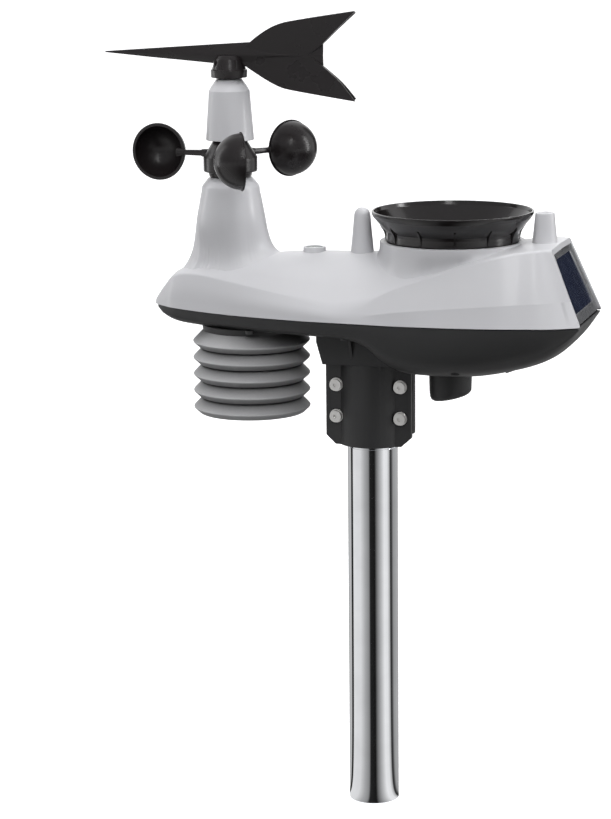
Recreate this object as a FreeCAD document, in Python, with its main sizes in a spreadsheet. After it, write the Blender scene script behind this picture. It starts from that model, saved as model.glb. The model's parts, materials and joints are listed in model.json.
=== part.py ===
import FreeCAD, Part
import Sketcher
import math
import os
import re

# Outdoor sensor head of a weather station on its mast. Millimetres, +Z up.
# Origin: centre of the mast's bottom end. +X: towards the solar panel. -Y: the side with the clamp bolts.

Vector = FreeCAD.Vector

SIZES = {
    # mast
    "mast_radius": 20, "mast_wall": 1.5, "mast_top": 375, "mark_low": 293, "mark_high": 294,
    "mark_depth": 0.4, "run_gap": 0.05,
    # clamp
    "clamp_low": 295.6, "clamp_high": 361.5, "clamp_half": 34.6, "saddle_radius": 25,
    "jaw_front": 12.5, "jaw_back": 8, "rear_low": 305, "rear_front": -5, "rear_flange": 1.5,
    "socket_high": 385.4, "socket_depth": 26, "socket_half": 38.5,
    "bolt_x": 26, "bolt_low": 318.3, "bolt_high": 343.5, "bolt_radius": 2.5, "bolt_hole": 2.75,
    "bolt_head": 4.6, "bolt_head_high": 3.4, "washer_radius": 5.4, "washer_thick": 1,
    "nut_half": 4, "nut_thick": 4,
    # housing
    "seam": 401, "seam_gap": 0.5, "wall": 2.5, "panel_x": 172.7, "panel_top_x": 149,
    "panel_low": 400.8, "panel_high": 456.9, "panel_half_low": 45.5, "panel_half_high": 36.3,
    "bezel_thick": 3, "bezel_width": 3.6, "cell_recess": 0.8,
    # wind tower
    "tower_x": -115.2, "tower_cap": 17.5, "tower_shoulder": 22.8, "tower_shoulder_z": 496,
    "tower_top": 504, "spindle_radius": 6, "spindle_bore": 3, "spindle_low": 486, "spindle_high": 539,
    "rotor_low": 504.5, "rotor_neck": 17, "rotor_neck_top": 508.5, "rotor_flange": 21.3,
    "rotor_flange_top": 521, "rotor_cap": 13.5, "rotor_top": 533, "bearing_outer": 10,
    "cup_orbit": 61.4, "cup_radius": 21.8, "cup_wall": 1.5, "cup_z": 522.3, "cup_first": 26.6,
    "arm_radius": 2.4,
    "cone_low": 533.3, "cone_low_radius": 19.05, "cone_high": 572.2, "cone_high_radius": 15.95,
    "cone_top": 581, "cone_top_radius": 10, "shaft_radius": 3, "ball_radius": 7,
    "hub_low": 581.3, "hub_neck": 9.8, "hub_collar": 14.4, "hub_collar_low": 582, "hub_collar_top": 586.7,
    "hub_top": 599, "hub_crown": 9, "vane_thick": 2.4, "vane_splay": 16,
    # radiation shield
    "shield_x": -99.7, "shield_tip": 46.6, "shield_valley": 39.4, "shield_bore": 30,
    "shield_first": 370.9, "shield_pitch": 12.9, "plate_thick": 2.2, "shield_screw_orbit": 34.5,
    # rain gauge
    "rain_x": 64.9, "funnel_rim": 62.9, "funnel_rim_z": 482.3, "funnel_neck": 51.5, "funnel_step_z": 465.5,
    "bucket_radius": 56.6, "bucket_rim_z": 459, "bucket_bore": 52.2, "spout_radius": 5.5,
    "spout_low": 431, "pivot_z": 406, "tipper_tilt": 12, "drain_x": 63.3, "drain_radius": 17,
    # posts on the roof
    "aerial_x": -7.6, "light_x": 137.3, "level_x": -46.6, "level_radius": 8.9, "level_top": 450.5,
}

# Cross-sections of the roof, nose to solar end: X, then (half-width, height) of the seam,
# the lower crease, the upper crease, the roof flank and the crown.
ROOF = [
    (-176.5, (4.6, 401), (4.4, 404), (3.8, 407.6), (2, 409), 409.4),
    (-166, (14.6, 401), (14.3, 410), (12.2, 420), (6.5, 421.6), 422),
    (-157, (21.6, 401), (21, 414), (17.5, 427.5), (9, 429.5), 430),
    (-135, (32.7, 401), (32, 415), (28, 428.6), (15, 433.5), 435),
    (-107, (44, 401), (43.4, 413.5), (39, 426), (22, 437), 440.3),
    (-73, (53.3, 401), (52.6, 411), (47.6, 421), (28, 439), 445),
    (-40, (59.8, 401), (59.2, 408.5), (54.6, 416.4), (32, 439), 447.4),
    (-15, (63, 401), (62.3, 406.5), (58.5, 412.8), (34, 438), 448.3),
    (8, (65.7, 401), (64.4, 407.2), (60.6, 416), (35, 439), 449),
    (35, (67.3, 401), (66.2, 411), (59.4, 427.5), (33, 444), 450),
    (61, (67.8, 401), (65.6, 413.8), (57.4, 437), (30, 447.5), 452),
    (87, (66.6, 401), (64, 416), (54, 445.8), (27, 452), 454),
    (111, (64, 401), (60.5, 417.7), (49, 452.2), (24, 455.5), 456.3),
    (131, (60.2, 401), (55.5, 418.8), (43, 455.7), (21, 457), 457.4),
    (155, (54.6, 401), (49, 419.8), (36.5, 458.2), (18, 458.6), 458.8),
    (177, (43.2, 401), (40, 421), (29, 460.6), (14, 461), 461.2),
]

# Cross-sections of the belly: X, half-width at the seam, lowest height.
BELLY = [
    (-177.5, 2.6, 398.4), (-170, 11.4, 393), (-157, 21.5, 388.5), (-135, 32.7, 386.8), (-107, 44, 386),
    (-73, 53.3, 385.2), (-35, 60.3, 384.6), (-8, 64.2, 383.5), (8, 65.8, 377.5), (21, 66.7, 365.5),
    (34, 67.2, 358), (50, 67.8, 356), (75, 67.6, 356), (96, 65.8, 357.4), (118, 62.8, 361.8),
    (137, 59.3, 367.4), (150, 55.8, 373.6), (160, 51.6, 381.5), (168, 48, 390.5), (172.7, 45.5, 398.6),
]

document = FreeCAD.newDocument("weather_station")
sheet = document.addObject("Spreadsheet::Sheet", "sizes")
pieces = []


def fill_sheet():
    for row, (alias, value) in enumerate(SIZES.items(), start=1):
        sheet.set("A%d" % row, alias)
        sheet.set("B%d" % row, str(value))
        sheet.setAlias("B%d" % row, alias)
    document.recompute()


def size(alias):
    return float(sheet.get(alias))


def formula(text):
    return re.sub(r"[a-z_]+", lambda word: "sizes." + word[0] if word[0] in SIZES else word[0], str(text))


def bind(item, **formulas):
    for path, text in formulas.items():
        item.setExpression(path.replace("__", "."), formula(text))


def settle(item, x=0, y=0, z=0):
    bind(item, Placement__Base__x=x, Placement__Base__y=y, Placement__Base__z=z)
    return item


def keep(item, label):
    item.Label = label
    pieces.append(item)
    return item


def rod(name, radius, low, high, x=0, y=0):
    item = document.addObject("Part::Cylinder", name)
    bind(item, Radius=radius, Height="(%s) - (%s)" % (high, low))
    return settle(item, x, y, low)


def block(name, x_span, y_span, z_span):
    item = document.addObject("Part::Box", name)
    for side, (low, high) in zip(("Length", "Width", "Height"), (x_span, y_span, z_span)):
        item.setExpression(side, formula("(%s) - (%s)" % (high, low)))
    return settle(item, x_span[0], y_span[0], z_span[0])


def crosswise(name, radius, low, high, x, z):
    """Cylinder along Y between two Y values."""
    item = document.addObject("Part::Cylinder", name)
    bind(item, Radius=radius, Height="(%s) - (%s)" % (high, low))
    item.Placement.Rotation = FreeCAD.Rotation(Vector(1, 0, 0), -90)
    return settle(item, x, low, z)


def joined(name, items):
    result = document.addObject("Part::MultiFuse", name)
    result.Shapes = items
    return result


def cut(name, base, tool):
    result = document.addObject("Part::Cut", name)
    result.Base = base
    result.Tool = tool
    return result


def group(name, items):
    result = document.addObject("Part::Compound", name)
    result.Links = items
    return result


def origin_plane(body, role):
    return next(feature for feature in body.Origin.OriginFeatures if feature.Role == role)


def outline_sketch(body, name, role, corners):
    """Closed outline whose corners are held by distances from the origin, bound to the sheet."""
    sketch = body.newObject("Sketcher::SketchObject", name)
    sketch.AttachmentSupport = [(origin_plane(body, role), "")]
    sketch.MapMode = "FlatFace"
    count = len(corners)
    turn = 2 * math.pi / count
    ring = [Vector(100 + 50 * math.cos(turn * step), 100 + 50 * math.sin(turn * step)) for step in range(count)]
    for step in range(count):
        sketch.addGeometry(Part.LineSegment(ring[step], ring[(step + 1) % count]), False)
    for step, (across, up) in enumerate(corners):
        sketch.addConstraint(Sketcher.Constraint("Coincident", step, 2, (step + 1) % count, 1))
        if across == 0:
            sketch.addConstraint(Sketcher.Constraint("PointOnObject", step, 1, -2))
        else:
            hold(sketch, "DistanceX", step, across)
        hold(sketch, "DistanceY", step, up)
    return sketch


def hold(sketch, kind, step, text):
    index = sketch.addConstraint(Sketcher.Constraint(kind, -1, 1, step, 1, 100.0))
    name = "%s_%d" % (kind, step)
    sketch.renameConstraint(index, name)
    sketch.setExpression("Constraints." + name, formula(text))


def turned(label, corners, x=0):
    """Body of revolution about a vertical axis, from (radius, height) corners."""
    body = document.addObject("PartDesign::Body", label + "_body")
    sketch = outline_sketch(body, label + "_outline", "XZ_Plane", corners)
    spin = body.newObject("PartDesign::Revolution", label + "_turn")
    spin.Profile = sketch
    spin.ReferenceAxis = (sketch, ["V_Axis"])
    spin.Angle = 360
    bind(body, Placement__Base__x=x)
    return body


def solid_piece(label, shape, placement=None):
    item = document.addObject("Part::Feature", label + "_solid")
    item.Shape = shape
    if placement:
        item.Placement = placement
    return item


def mirrored_section(x, corners, crown):
    left = [Vector(x, -across, up) for across, up in corners]
    right = [Vector(x, across, up) for across, up in reversed(corners)]
    outline = left + [Vector(x, 0, crown)] + right
    return Part.makePolygon(outline + outline[:1])


def roof_loft(inset):
    wires = []
    for x, *corners, crown in ROOF:
        if corners[0][0] > 3 * inset:
            moved = [(across - inset * (1 if up < crown - 12 else 0.5), up - inset) for across, up in corners]
            moved[0] = (corners[0][0] - inset, corners[0][1])
            wires.append(mirrored_section(x, moved, crown - inset))
    return Part.makeLoft(wires, True, False)


def belly_loft(inset):
    wires = []
    for x, half, low in BELLY:
        if half > 4 * inset and low < 396 and x < 165 or inset == 0:
            deep = 401 - low - inset
            wide = half - inset
            rings = [(1, 0), (0.985, 0.4), (0.9, 0.72), (0.7, 0.9), (0.4, 0.985)]
            corners = [(across * wide, 401 - down * deep) for across, down in rings]
            wires.append(mirrored_section(x, corners, 401 - deep))
    return Part.makeLoft(wires, True, False)


def panel_placement(depth):
    """Frame on the solar end: X to +Y, Y up the slope, Z outward, sunk by depth."""
    lean = math.atan2(size("panel_x") - size("panel_top_x"), size("panel_high") - size("panel_low"))
    up_slope = Vector(-math.sin(lean), 0, math.cos(lean))
    outward = Vector(math.cos(lean), 0, math.sin(lean))
    base = Vector(size("panel_x"), 0, size("panel_low")) - outward * depth
    return FreeCAD.Placement(base, FreeCAD.Rotation(Vector(0, 1, 0), up_slope, outward, "XYZ"))


def beyond_panel(depth):
    slab = Part.makeBox(400, 400, 100, Vector(-200, -150, 0))
    slab.Placement = panel_placement(depth)
    return slab


def lathe(corners, x):
    outline = Part.makePolygon([Vector(x + radius, 0, up) for radius, up in corners + corners[:1]])
    return Part.Face(outline).revolve(Vector(x, 0, 0), Vector(0, 0, 1), 360)


def column(radius, low, high, x, y=0):
    return Part.makeCylinder(radius, high - low, Vector(x, y, low))


def case_screw_places():
    return [(x, side * y) for x, y in ((79, 51), (-8, 51), (-88, 41)) for side in (-1, 1)]


def mast():
    outer = "mast_radius"
    marked = "mast_radius - mark_depth"
    corners = [("mast_radius - mast_wall", 0), (outer, 0), (outer, "mark_low"), (marked, "mark_low")]
    corners += [(marked, "mark_high"), (outer, "mark_high"), (outer, "mast_top")]
    corners += [("mast_radius - mast_wall", "mast_top")]
    keep(turned("mast_tube", corners), "mast_tube")


def bolt_places():
    return [(side, level) for side in (-1, 1) for level in ("bolt_low", "bolt_high")]


def bolt_holes(name, low, high):
    holes = [crosswise("%s_%d" % (name, step), "bolt_hole", low, high, "bolt_x * %d" % side, level)
             for step, (side, level) in enumerate(bolt_places())]
    return joined(name, holes)


def front_jaw_shape():
    half = size("clamp_half")
    front = -size("jaw_front")
    back = -size("jaw_back")
    shoulder = Vector(-22, front - 1.5, 0)
    right = Vector(22, front - 1.5, 0)
    path = [Part.LineSegment(Vector(-half, back, 0), Vector(-half, front, 0)),
            Part.LineSegment(Vector(-half, front, 0), shoulder),
            Part.Arc(shoulder, Vector(0, -size("saddle_radius"), 0), right),
            Part.LineSegment(right, Vector(half, front, 0)),
            Part.LineSegment(Vector(half, front, 0), Vector(half, back, 0)),
            Part.LineSegment(Vector(half, back, 0), Vector(-half, back, 0))]
    face = Part.Face(Part.Wire([edge.toShape() for edge in path]))
    jaw = face.extrude(Vector(0, 0, size("clamp_high") - size("clamp_low") + 1))
    jaw.translate(Vector(0, 0, size("clamp_low")))
    for side in (-1, 1):
        low = size("clamp_low")
        corner = Part.makePolygon([Vector(side * (half + 1), -40, low + 8), Vector(side * (half + 1), -40, low - 1),
                                   Vector(side * (half - 9), -40, low - 1), Vector(side * (half + 1), -40, low + 8)])
        jaw = jaw.cut(Part.Face(corner).extrude(Vector(0, 60, 0)))
    return jaw


def socket_block_shape():
    low = size("clamp_high")
    half = size("socket_half")
    depth = size("socket_depth")
    wires = []
    for level, grow in ((low, -5), (379, 0), (size("socket_high"), 0)):
        ends = [(-half - grow, -depth), (half + grow, -depth), (half + grow, depth), (-half - grow, depth)]
        wires.append(Part.makePolygon([Vector(x, y, level) for x, y in ends + ends[:1]]))
    return Part.makeLoft(wires, True, True)


def clamp():
    bore = rod("socket_bore", "mast_radius + run_gap", "clamp_low - 5", "mast_top + 0.3")
    jaw = solid_piece("front_jaw", front_jaw_shape())
    block_solid = solid_piece("socket_block", socket_block_shape())
    ribs = []
    for step, x in enumerate((-11, 11)):
        rib = Part.makePolygon([Vector(x, -20, 352), Vector(x, -24, 362), Vector(x, -33, 384),
                                Vector(x, -20, 384), Vector(x, -20, 352)])
        ribs.append(solid_piece("socket_rib_%d" % step, Part.Face(rib).extrude(Vector(2.2, 0, 0))))
    body = joined("socket_body", [jaw, block_solid] + ribs)
    seats = [crosswise("bolt_seat_%d" % step, "washer_radius + 0.8", -40, "-jaw_front", "bolt_x * %d" % side, level)
             for step, (side, level) in enumerate(bolt_places())]
    holes = joined("front_voids", seats + [bolt_holes("front_holes", -40, 0)])
    keep(cut("socket_drilled", cut("socket_bored", body, bore), holes), "mast_socket")
    rear = joined("rear_body", [
        block("rear_flanges", ("-clamp_half", "clamp_half"), ("rear_front", "rear_flange"),
              ("rear_low", "clamp_high - 0.5")),
        cut("rear_saddle", rod("rear_round", "saddle_radius", "rear_low", "clamp_high - 0.5"),
            block("rear_trim", (-40, 40), (-40, "rear_front"), (290, 380)))])
    bored = cut("rear_bored", rear, rod("rear_bore", "mast_radius + run_gap", "rear_low - 5", "clamp_high + 5"))
    seats = [crosswise("nut_seat_%d" % step, "nut_half + 1.2", "rear_flange", 14, "bolt_x * %d" % side, level)
             for step, (side, level) in enumerate(bolt_places())]
    voids = joined("rear_voids", seats + [bolt_holes("rear_holes", -20, 20)])
    keep(cut("rear_drilled", bored, voids), "mast_clamp")
    fasteners()


def fasteners():
    bolts = []
    washers = []
    nuts = []
    face = "-jaw_front"
    for step, (side, level) in enumerate(bolt_places()):
        x = "bolt_x * %d" % side
        shank = crosswise("shank_%d" % step, "bolt_radius", face + " - washer_thick", 9, x, level)
        head = crosswise("head_%d" % step, "bolt_head", face + " - washer_thick - bolt_head_high",
                         face + " - washer_thick", x, level)
        slot = crosswise("socket_%d" % step, "bolt_radius * 0.6", face + " - washer_thick - bolt_head_high - 1",
                         face + " - washer_thick - bolt_head_high + 1.6", x, level)
        bolts.append(cut("bolt_%d" % step, joined("bolt_solid_%d" % step, [shank, head]), slot))
        disc = crosswise("disc_%d" % step, "washer_radius", face + " - washer_thick", face, x, level)
        eye = crosswise("eye_%d" % step, "bolt_hole", face + " - 3", face + " + 3", x, level)
        washers.append(cut("washer_%d" % step, disc, eye))
        hexagon = document.addObject("Part::Prism", "hexagon_%d" % step)
        hexagon.Polygon = 6
        bind(hexagon, Circumradius="nut_half / cos(30)", Height="nut_thick")
        hexagon.Placement.Rotation = FreeCAD.Rotation(Vector(1, 0, 0), -90)
        settle(hexagon, x, "rear_flange", level)
        thread = crosswise("thread_%d" % step, "bolt_radius + 0.02", 0, 10, x, level)
        nuts.append(cut("nut_%d" % step, hexagon, thread))
    keep(group("bolt_set", bolts), "clamp_bolts")
    keep(group("washer_set", washers), "clamp_washers")
    keep(group("nut_set", nuts), "clamp_nuts")


def tower_corners():
    outer = [(38.5, 430), (36.4, 442), (33, 457), (28.4, 470), (24.8, 485), ("shoulder", "shoulder_z")]
    named = {"shoulder": size("tower_shoulder"), "shoulder_z": size("tower_shoulder_z")}
    corners = [(named.get(r, r), named.get(z, z)) for r, z in outer]
    return corners + [(size("tower_cap"), size("tower_top"))]


def top_shell():
    wall = size("wall")
    tower_x = size("tower_x")
    rain_x = size("rain_x")
    outer = roof_loft(0)
    tower = lathe([(0, 430)] + tower_corners() + [(0, size("tower_top"))], tower_x)
    tower = tower.fuse(column(38.5, 402, 430, tower_x).common(outer))
    bucket = column(size("bucket_radius"), 436, size("bucket_rim_z"), rain_x)
    aerial = Part.makeCone(8.8, 6.3, 37, Vector(size("aerial_x"), 0, 443)).fuse(
        Part.makeSphere(6.3, Vector(size("aerial_x"), 0, 480)).common(column(7, 480, 482.6, size("aerial_x"))))
    light = Part.makeCone(8.8, 7, 31, Vector(size("light_x"), 0, 451))
    shell = outer.fuse([tower, bucket, aerial]).cut(beyond_panel(size("bezel_thick"))).fuse(light)
    hollow = roof_loft(wall).cut(beyond_panel(size("bezel_thick") + wall))
    inside_tower = lathe([(0, 432)] + [(34, 432)] + [(r - wall, z - wall) for r, z in tower_corners()[1:]] +
                         [(0, size("tower_top") - wall)], tower_x)
    inside_bucket = column(size("bucket_radius") - wall, 449.5, size("bucket_rim_z") - wall, rain_x).fuse(
        column(size("bucket_bore"), 450, 470, rain_x))
    spout_hole = column(12, 430, 455, rain_x)
    solid_floor = column(size("bucket_radius"), 447, 449.5, rain_x)
    aerial_bore = column(4, 430, 478, size("aerial_x"))
    light_bore = column(4.6, 440, 490, size("light_x"))
    shell = shell.cut(hollow).cut([inside_tower, inside_bucket])
    level_seat = column(size("level_radius") + 2, 441, 449, size("level_x")).common(outer)
    bosses = [column(4, 402, 470, x, y).common(outer) for x, y in case_screw_places()]
    shell = shell.fuse([solid_floor, level_seat] + bosses)
    drills = [column(1.3, 400, 414, x, y) for x, y in case_screw_places()]
    level_pocket = column(size("level_radius") + 0.1, 446, 470, size("level_x"))
    spindle_hole = column(size("spindle_radius") + 0.02, 490, 510, tower_x)
    below_seam = Part.makeBox(600, 400, 10, Vector(-300, -200, size("seam") + size("seam_gap") - 10))
    shell = shell.cut([spout_hole, aerial_bore, light_bore, level_pocket, spindle_hole, below_seam] + drills)
    keep(solid_piece("top_shell", shell), "top_shell")


def bottom_shell():
    wall = size("wall")
    outer = belly_loft(0)
    hollow = belly_loft(wall)
    shell = outer.cut(hollow)
    neck = column(37.5, 378.8, 386, size("shield_x")).cut(column(size("shield_bore"), 370, 395, size("shield_x")))
    bosses = [column(5.6, 360, 400.4, x, y).common(outer) for x, y in case_screw_places()]
    shell = shell.fuse([neck] + bosses)
    socket_gap = 0.3
    socket_space = Part.makeBox(77.6, 52.6, 25, Vector(-38.8, -26.3, size("clamp_high") - socket_gap))
    ribs_space = Part.makeBox(30, 20, 40, Vector(-13, -34, 350))
    flange_space = Part.makeBox(70, 60, 30, Vector(-35, -26, 340))
    vent = column(size("shield_bore"), 370, 395, size("shield_x"))
    drain = column(size("drain_radius") - 3, 340, 362, size("drain_x"))
    screws = [column(4.2, 350, 393, x, y) for x, y in case_screw_places()]
    screws += [column(1.8, 390, 402, x, y) for x, y in case_screw_places()]
    above_seam = Part.makeBox(600, 400, 20, Vector(-300, -200, size("seam") - size("seam_gap")))
    button_hole = column(3.1, 370, 395, -38, 34)
    lamp_hole = column(1.6, 370, 395, -46, 38)
    shell = shell.cut([socket_space, ribs_space, flange_space, vent, drain, above_seam, button_hole, lamp_hole])
    shell = shell.cut(screws + [door_pocket()])
    keep(solid_piece("bottom_shell", shell), "bottom_shell")


def door_placement():
    """Frame on the sloping underside below the battery bay: X up the slope, Z inward."""
    slope = math.atan2(373.6 - 361.8, 150 - 118)
    return FreeCAD.Placement(Vector(112, 0, 359.6), FreeCAD.Rotation(Vector(0, 1, 0), -math.degrees(slope)))


def door_pocket():
    opening = Part.makeBox(36, 44, 8, Vector(0, -22, -4))
    opening.Placement = door_placement()
    return opening


def seam_outline(inset):
    right = [Vector(x, half - inset, 0) for x, half, _ in BELLY if half > 8]
    left = [Vector(point.x, -point.y, 0) for point in reversed(right)]
    right_curve = Part.BSplineCurve()
    right_curve.interpolate(right)
    left_curve = Part.BSplineCurve()
    left_curve.interpolate(left)
    edges = [right_curve.toShape(), Part.makeLine(right[-1], left[0]), left_curve.toShape(),
             Part.makeLine(left[-1], right[0])]
    return Part.Face(Part.Wire(edges))


def seam_parts():
    low = size("seam") - size("seam_gap")
    height = 2 * size("seam_gap")
    ring = seam_outline(1.0).cut(seam_outline(2.2)).extrude(Vector(0, 0, height))
    ring.translate(Vector(0, 0, low))
    ring = ring.common(Part.makeBox(345, 200, 10, Vector(-178, -100, 396)))
    clear_of_bosses = [column(6, 395, 405, x, y) for x, y in case_screw_places()]
    keep(solid_piece("case_seal", ring.cut(clear_of_bosses)), "case_seal")
    screws = []
    for step, (x, y) in enumerate(case_screw_places()):
        head = rod("case_head_%d" % step, 3.5, 390.4, 392.9, x, y)
        shank = rod("case_shank_%d" % step, 1.25, 392.9, 412, x, y)
        recess = rod("case_recess_%d" % step, 1.4, 389, 391.6, x, y)
        screws.append(cut("case_screw_%d" % step, joined("case_screw_solid_%d" % step, [head, shank]), recess))
    keep(group("case_screw_set", screws), "case_screws")


def tower():
    corners = [("spindle_bore", "spindle_low"), ("spindle_radius", "spindle_low"),
               ("spindle_radius", "spindle_high"), ("spindle_bore", "spindle_high")]
    keep(turned("tower_spindle", corners, "tower_x"), "tower_spindle")
    ball = "ball_radius + 0.02"
    cavity = "cone_high_radius - 3"
    corners = [("spindle_radius + 0.02", "cone_low"), ("cone_low_radius", "cone_low"),
               ("cone_high_radius", "cone_high"), ("cone_top_radius", "cone_top"), (4, "cone_top"),
               (4, "cone_top - 3"), (ball, "cone_top - 3"), (ball, 555), (cavity, 555),
               (cavity, "cone_low + 3"), ("spindle_radius + 0.02", "cone_low + 3")]
    keep(turned("upper_tower_cone", corners, "tower_x"), "upper_tower_cone")
    rings = []
    for step, low in enumerate((556, 572.5)):
        outer = rod("ball_outer_%d" % step, "ball_radius", low, "%s + 5" % low, "tower_x")
        inner = rod("ball_inner_%d" % step, "shaft_radius + run_gap", "%s - 1" % low, "%s + 6" % low, "tower_x")
        rings.append(cut("ball_ring_%d" % step, outer, inner))
    keep(group("vane_bearing_set", rings), "vane_bearings")
    disc = cut("vane_board_disc", rod("vane_board_round", "cone_high_radius - 3.6", 541, 542.6, "tower_x"),
               rod("vane_board_hole", 1.2, 540, 544, "tower_x", 8))
    keep(disc, "vane_sensor_board")
    ring = cut("rotor_board_ring", rod("rotor_board_round", 15.5, 496.5, 498.1, "tower_x"),
               rod("rotor_board_eye", "spindle_radius + 1", 490, 505, "tower_x"))
    keep(ring, "rotor_sensor_board")


def rotor():
    bore = "spindle_radius + 0.6"
    ring = "bearing_outer + 0.02"
    corners = [(bore, "rotor_low"), ("rotor_neck", "rotor_low"), ("rotor_neck", "rotor_neck_top"),
               ("rotor_flange", "rotor_neck_top"), ("rotor_flange", "rotor_flange_top"),
               ("rotor_cap", "rotor_top"), (bore, "rotor_top"), (bore, 528), (ring, 528), (ring, 507), (bore, 507)]
    hub = turned("rotor_hub", corners, "tower_x")
    pocket = rod("rotor_magnet_pocket", 2.02, "rotor_low - 1", 507.5, "tower_x + 13")
    flats = arm_sockets()
    keep(cut("rotor_hub_cut", hub, joined("rotor_hub_voids", [pocket] + flats)), "rotor_hub")
    rings = []
    for step, low in enumerate((508, 522)):
        outer = rod("rotor_ring_outer_%d" % step, "bearing_outer", low, "%s + 5" % low, "tower_x")
        inner = rod("rotor_ring_inner_%d" % step, "spindle_radius + run_gap", "%s - 1" % low,
                    "%s + 6" % low, "tower_x")
        rings.append(cut("rotor_ring_%d" % step, outer, inner))
    keep(group("rotor_bearing_set", rings), "rotor_bearings")
    keep(rod("rotor_magnet_rod", 2, "rotor_low", 507.5, "tower_x + 13"), "rotor_magnet")
    for step in range(3):
        keep(solid_piece("wind_cup_%d" % (step + 1), cup_shape(step)), "wind_cup_%d" % (step + 1))


def cup_frame(step):
    angle = math.radians(size("cup_first") + 120 * step)
    outward = Vector(math.sin(angle), -math.cos(angle), 0)
    facing = Vector(math.cos(angle), math.sin(angle), 0)
    return outward, facing, Vector(size("tower_x"), 0, size("cup_z"))


def arm_sockets():
    sockets = []
    for step in range(3):
        outward, _, centre = cup_frame(step)
        root = Part.makeCylinder(size("arm_radius") + 0.02, 8, centre + outward * 14, outward)
        sockets.append(solid_piece("arm_socket_%d" % step, root))
    return sockets


def cup_shape(step):
    outward, facing, centre = cup_frame(step)
    middle = centre + outward * size("cup_orbit")
    radius = size("cup_radius")
    arm = Part.makeCylinder(size("arm_radius"), size("cup_orbit") - 14.5, centre + outward * 14.5, outward)
    mouth = Part.makeCylinder(radius + 0.6, 1.6, middle - facing * 1.6, facing)
    dome = Part.makeSphere(radius, middle).fuse(mouth)
    hollow = Part.makeSphere(radius - size("cup_wall"), middle)
    open_half = Part.makeCylinder(radius * 2, radius * 2, middle, facing)
    return dome.fuse(arm).cut(hollow).cut(open_half).removeSplitter()


def vane_fin(upper, side):
    """One fin of the tail: a plate that leaves the ridge and leans outward."""
    sign = 1 if upper else -1
    ridge = size("hub_top") + 0.6
    outline = [Vector(-104, 0, ridge - sign * 0.4)]
    if upper:
        edge = [Vector(-97.2, 0, 609.7), Vector(-79.5, 0, 621.4), Vector(-66, 0, 625.6), Vector(-11.3, 0, 633.9)]
        notch = Vector(-38.5, 0, 608.6)
    else:
        edge = [Vector(-99, 0, 590), Vector(-80, 0, 578.6), Vector(-66, 0, 573.6), Vector(-11.7, 0, 564.9)]
        notch = Vector(-38.5, 0, 591.2)
    lines = [Part.makeLine(outline[0], edge[0]), Part.makeLine(edge[0], edge[1]),
             Part.makeLine(edge[1], edge[2]), Part.makeLine(edge[2], edge[3]), Part.makeLine(edge[3], notch),
             Part.makeLine(notch, Vector(-50, 0, ridge)), Part.makeLine(Vector(-50, 0, ridge), outline[0])]
    fin = Part.Face(Part.Wire(lines)).extrude(Vector(0, size("vane_thick"), 0))
    fin.translate(Vector(0, -size("vane_thick") / 2, 0))
    lean = -side * sign * size("vane_splay")
    fin.rotate(Vector(0, 0, ridge), Vector(1, 0, 0), lean)
    return fin


def vane():
    tower_x = size("tower_x")
    half = size("vane_thick") / 2
    hub = lathe([(0, size("hub_low")), (size("hub_neck"), size("hub_low")),
                 (size("hub_collar"), size("hub_collar_low")), (size("hub_collar"), size("hub_collar_top")),
                 (size("hub_crown"), size("hub_top")), (0, size("hub_top"))], tower_x)
    spike = Part.makeLoft([
        Part.makePolygon([Vector(x, 0, low), Vector(x, -wide, ridge), Vector(x, 0, high), Vector(x, wide, ridge),
                          Vector(x, 0, low)])
        for x, low, ridge, high, wide in ((-218.1, 600.7, 601.2, 601.7, 0.5), (-129, 593.1, 600, 607.7, 5),
                                          (-97.2, 591, 599.6, 609.7, half))], True, True)
    solid = hub.fuse([spike] + [vane_fin(upper, side) for upper in (True, False) for side in (-1, 1)])
    shaft_bore = column(size("shaft_radius") + 0.02, 570, 594, tower_x)
    screw_bore = Part.makeCylinder(1.5, 20, Vector(tower_x, -20, 584.5), Vector(0, 1, 0))
    keep(solid_piece("wind_vane", solid.cut([shaft_bore, screw_bore])), "wind_vane")
    keep(rod("vane_shaft_rod", "shaft_radius", 552, 594, "tower_x"), "vane_shaft")
    screw = crosswise("vane_screw_rod", 1.48, -14, -3.02, "tower_x", 584.5)
    drive = crosswise("vane_screw_drive", 0.7, -15, -12.5, "tower_x", 584.5)
    keep(cut("vane_screw_cut", screw, drive), "vane_screw")
    keep(rod("vane_magnet_rod", "shaft_radius + 2", 546, 552, "tower_x"), "vane_magnet")


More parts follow.
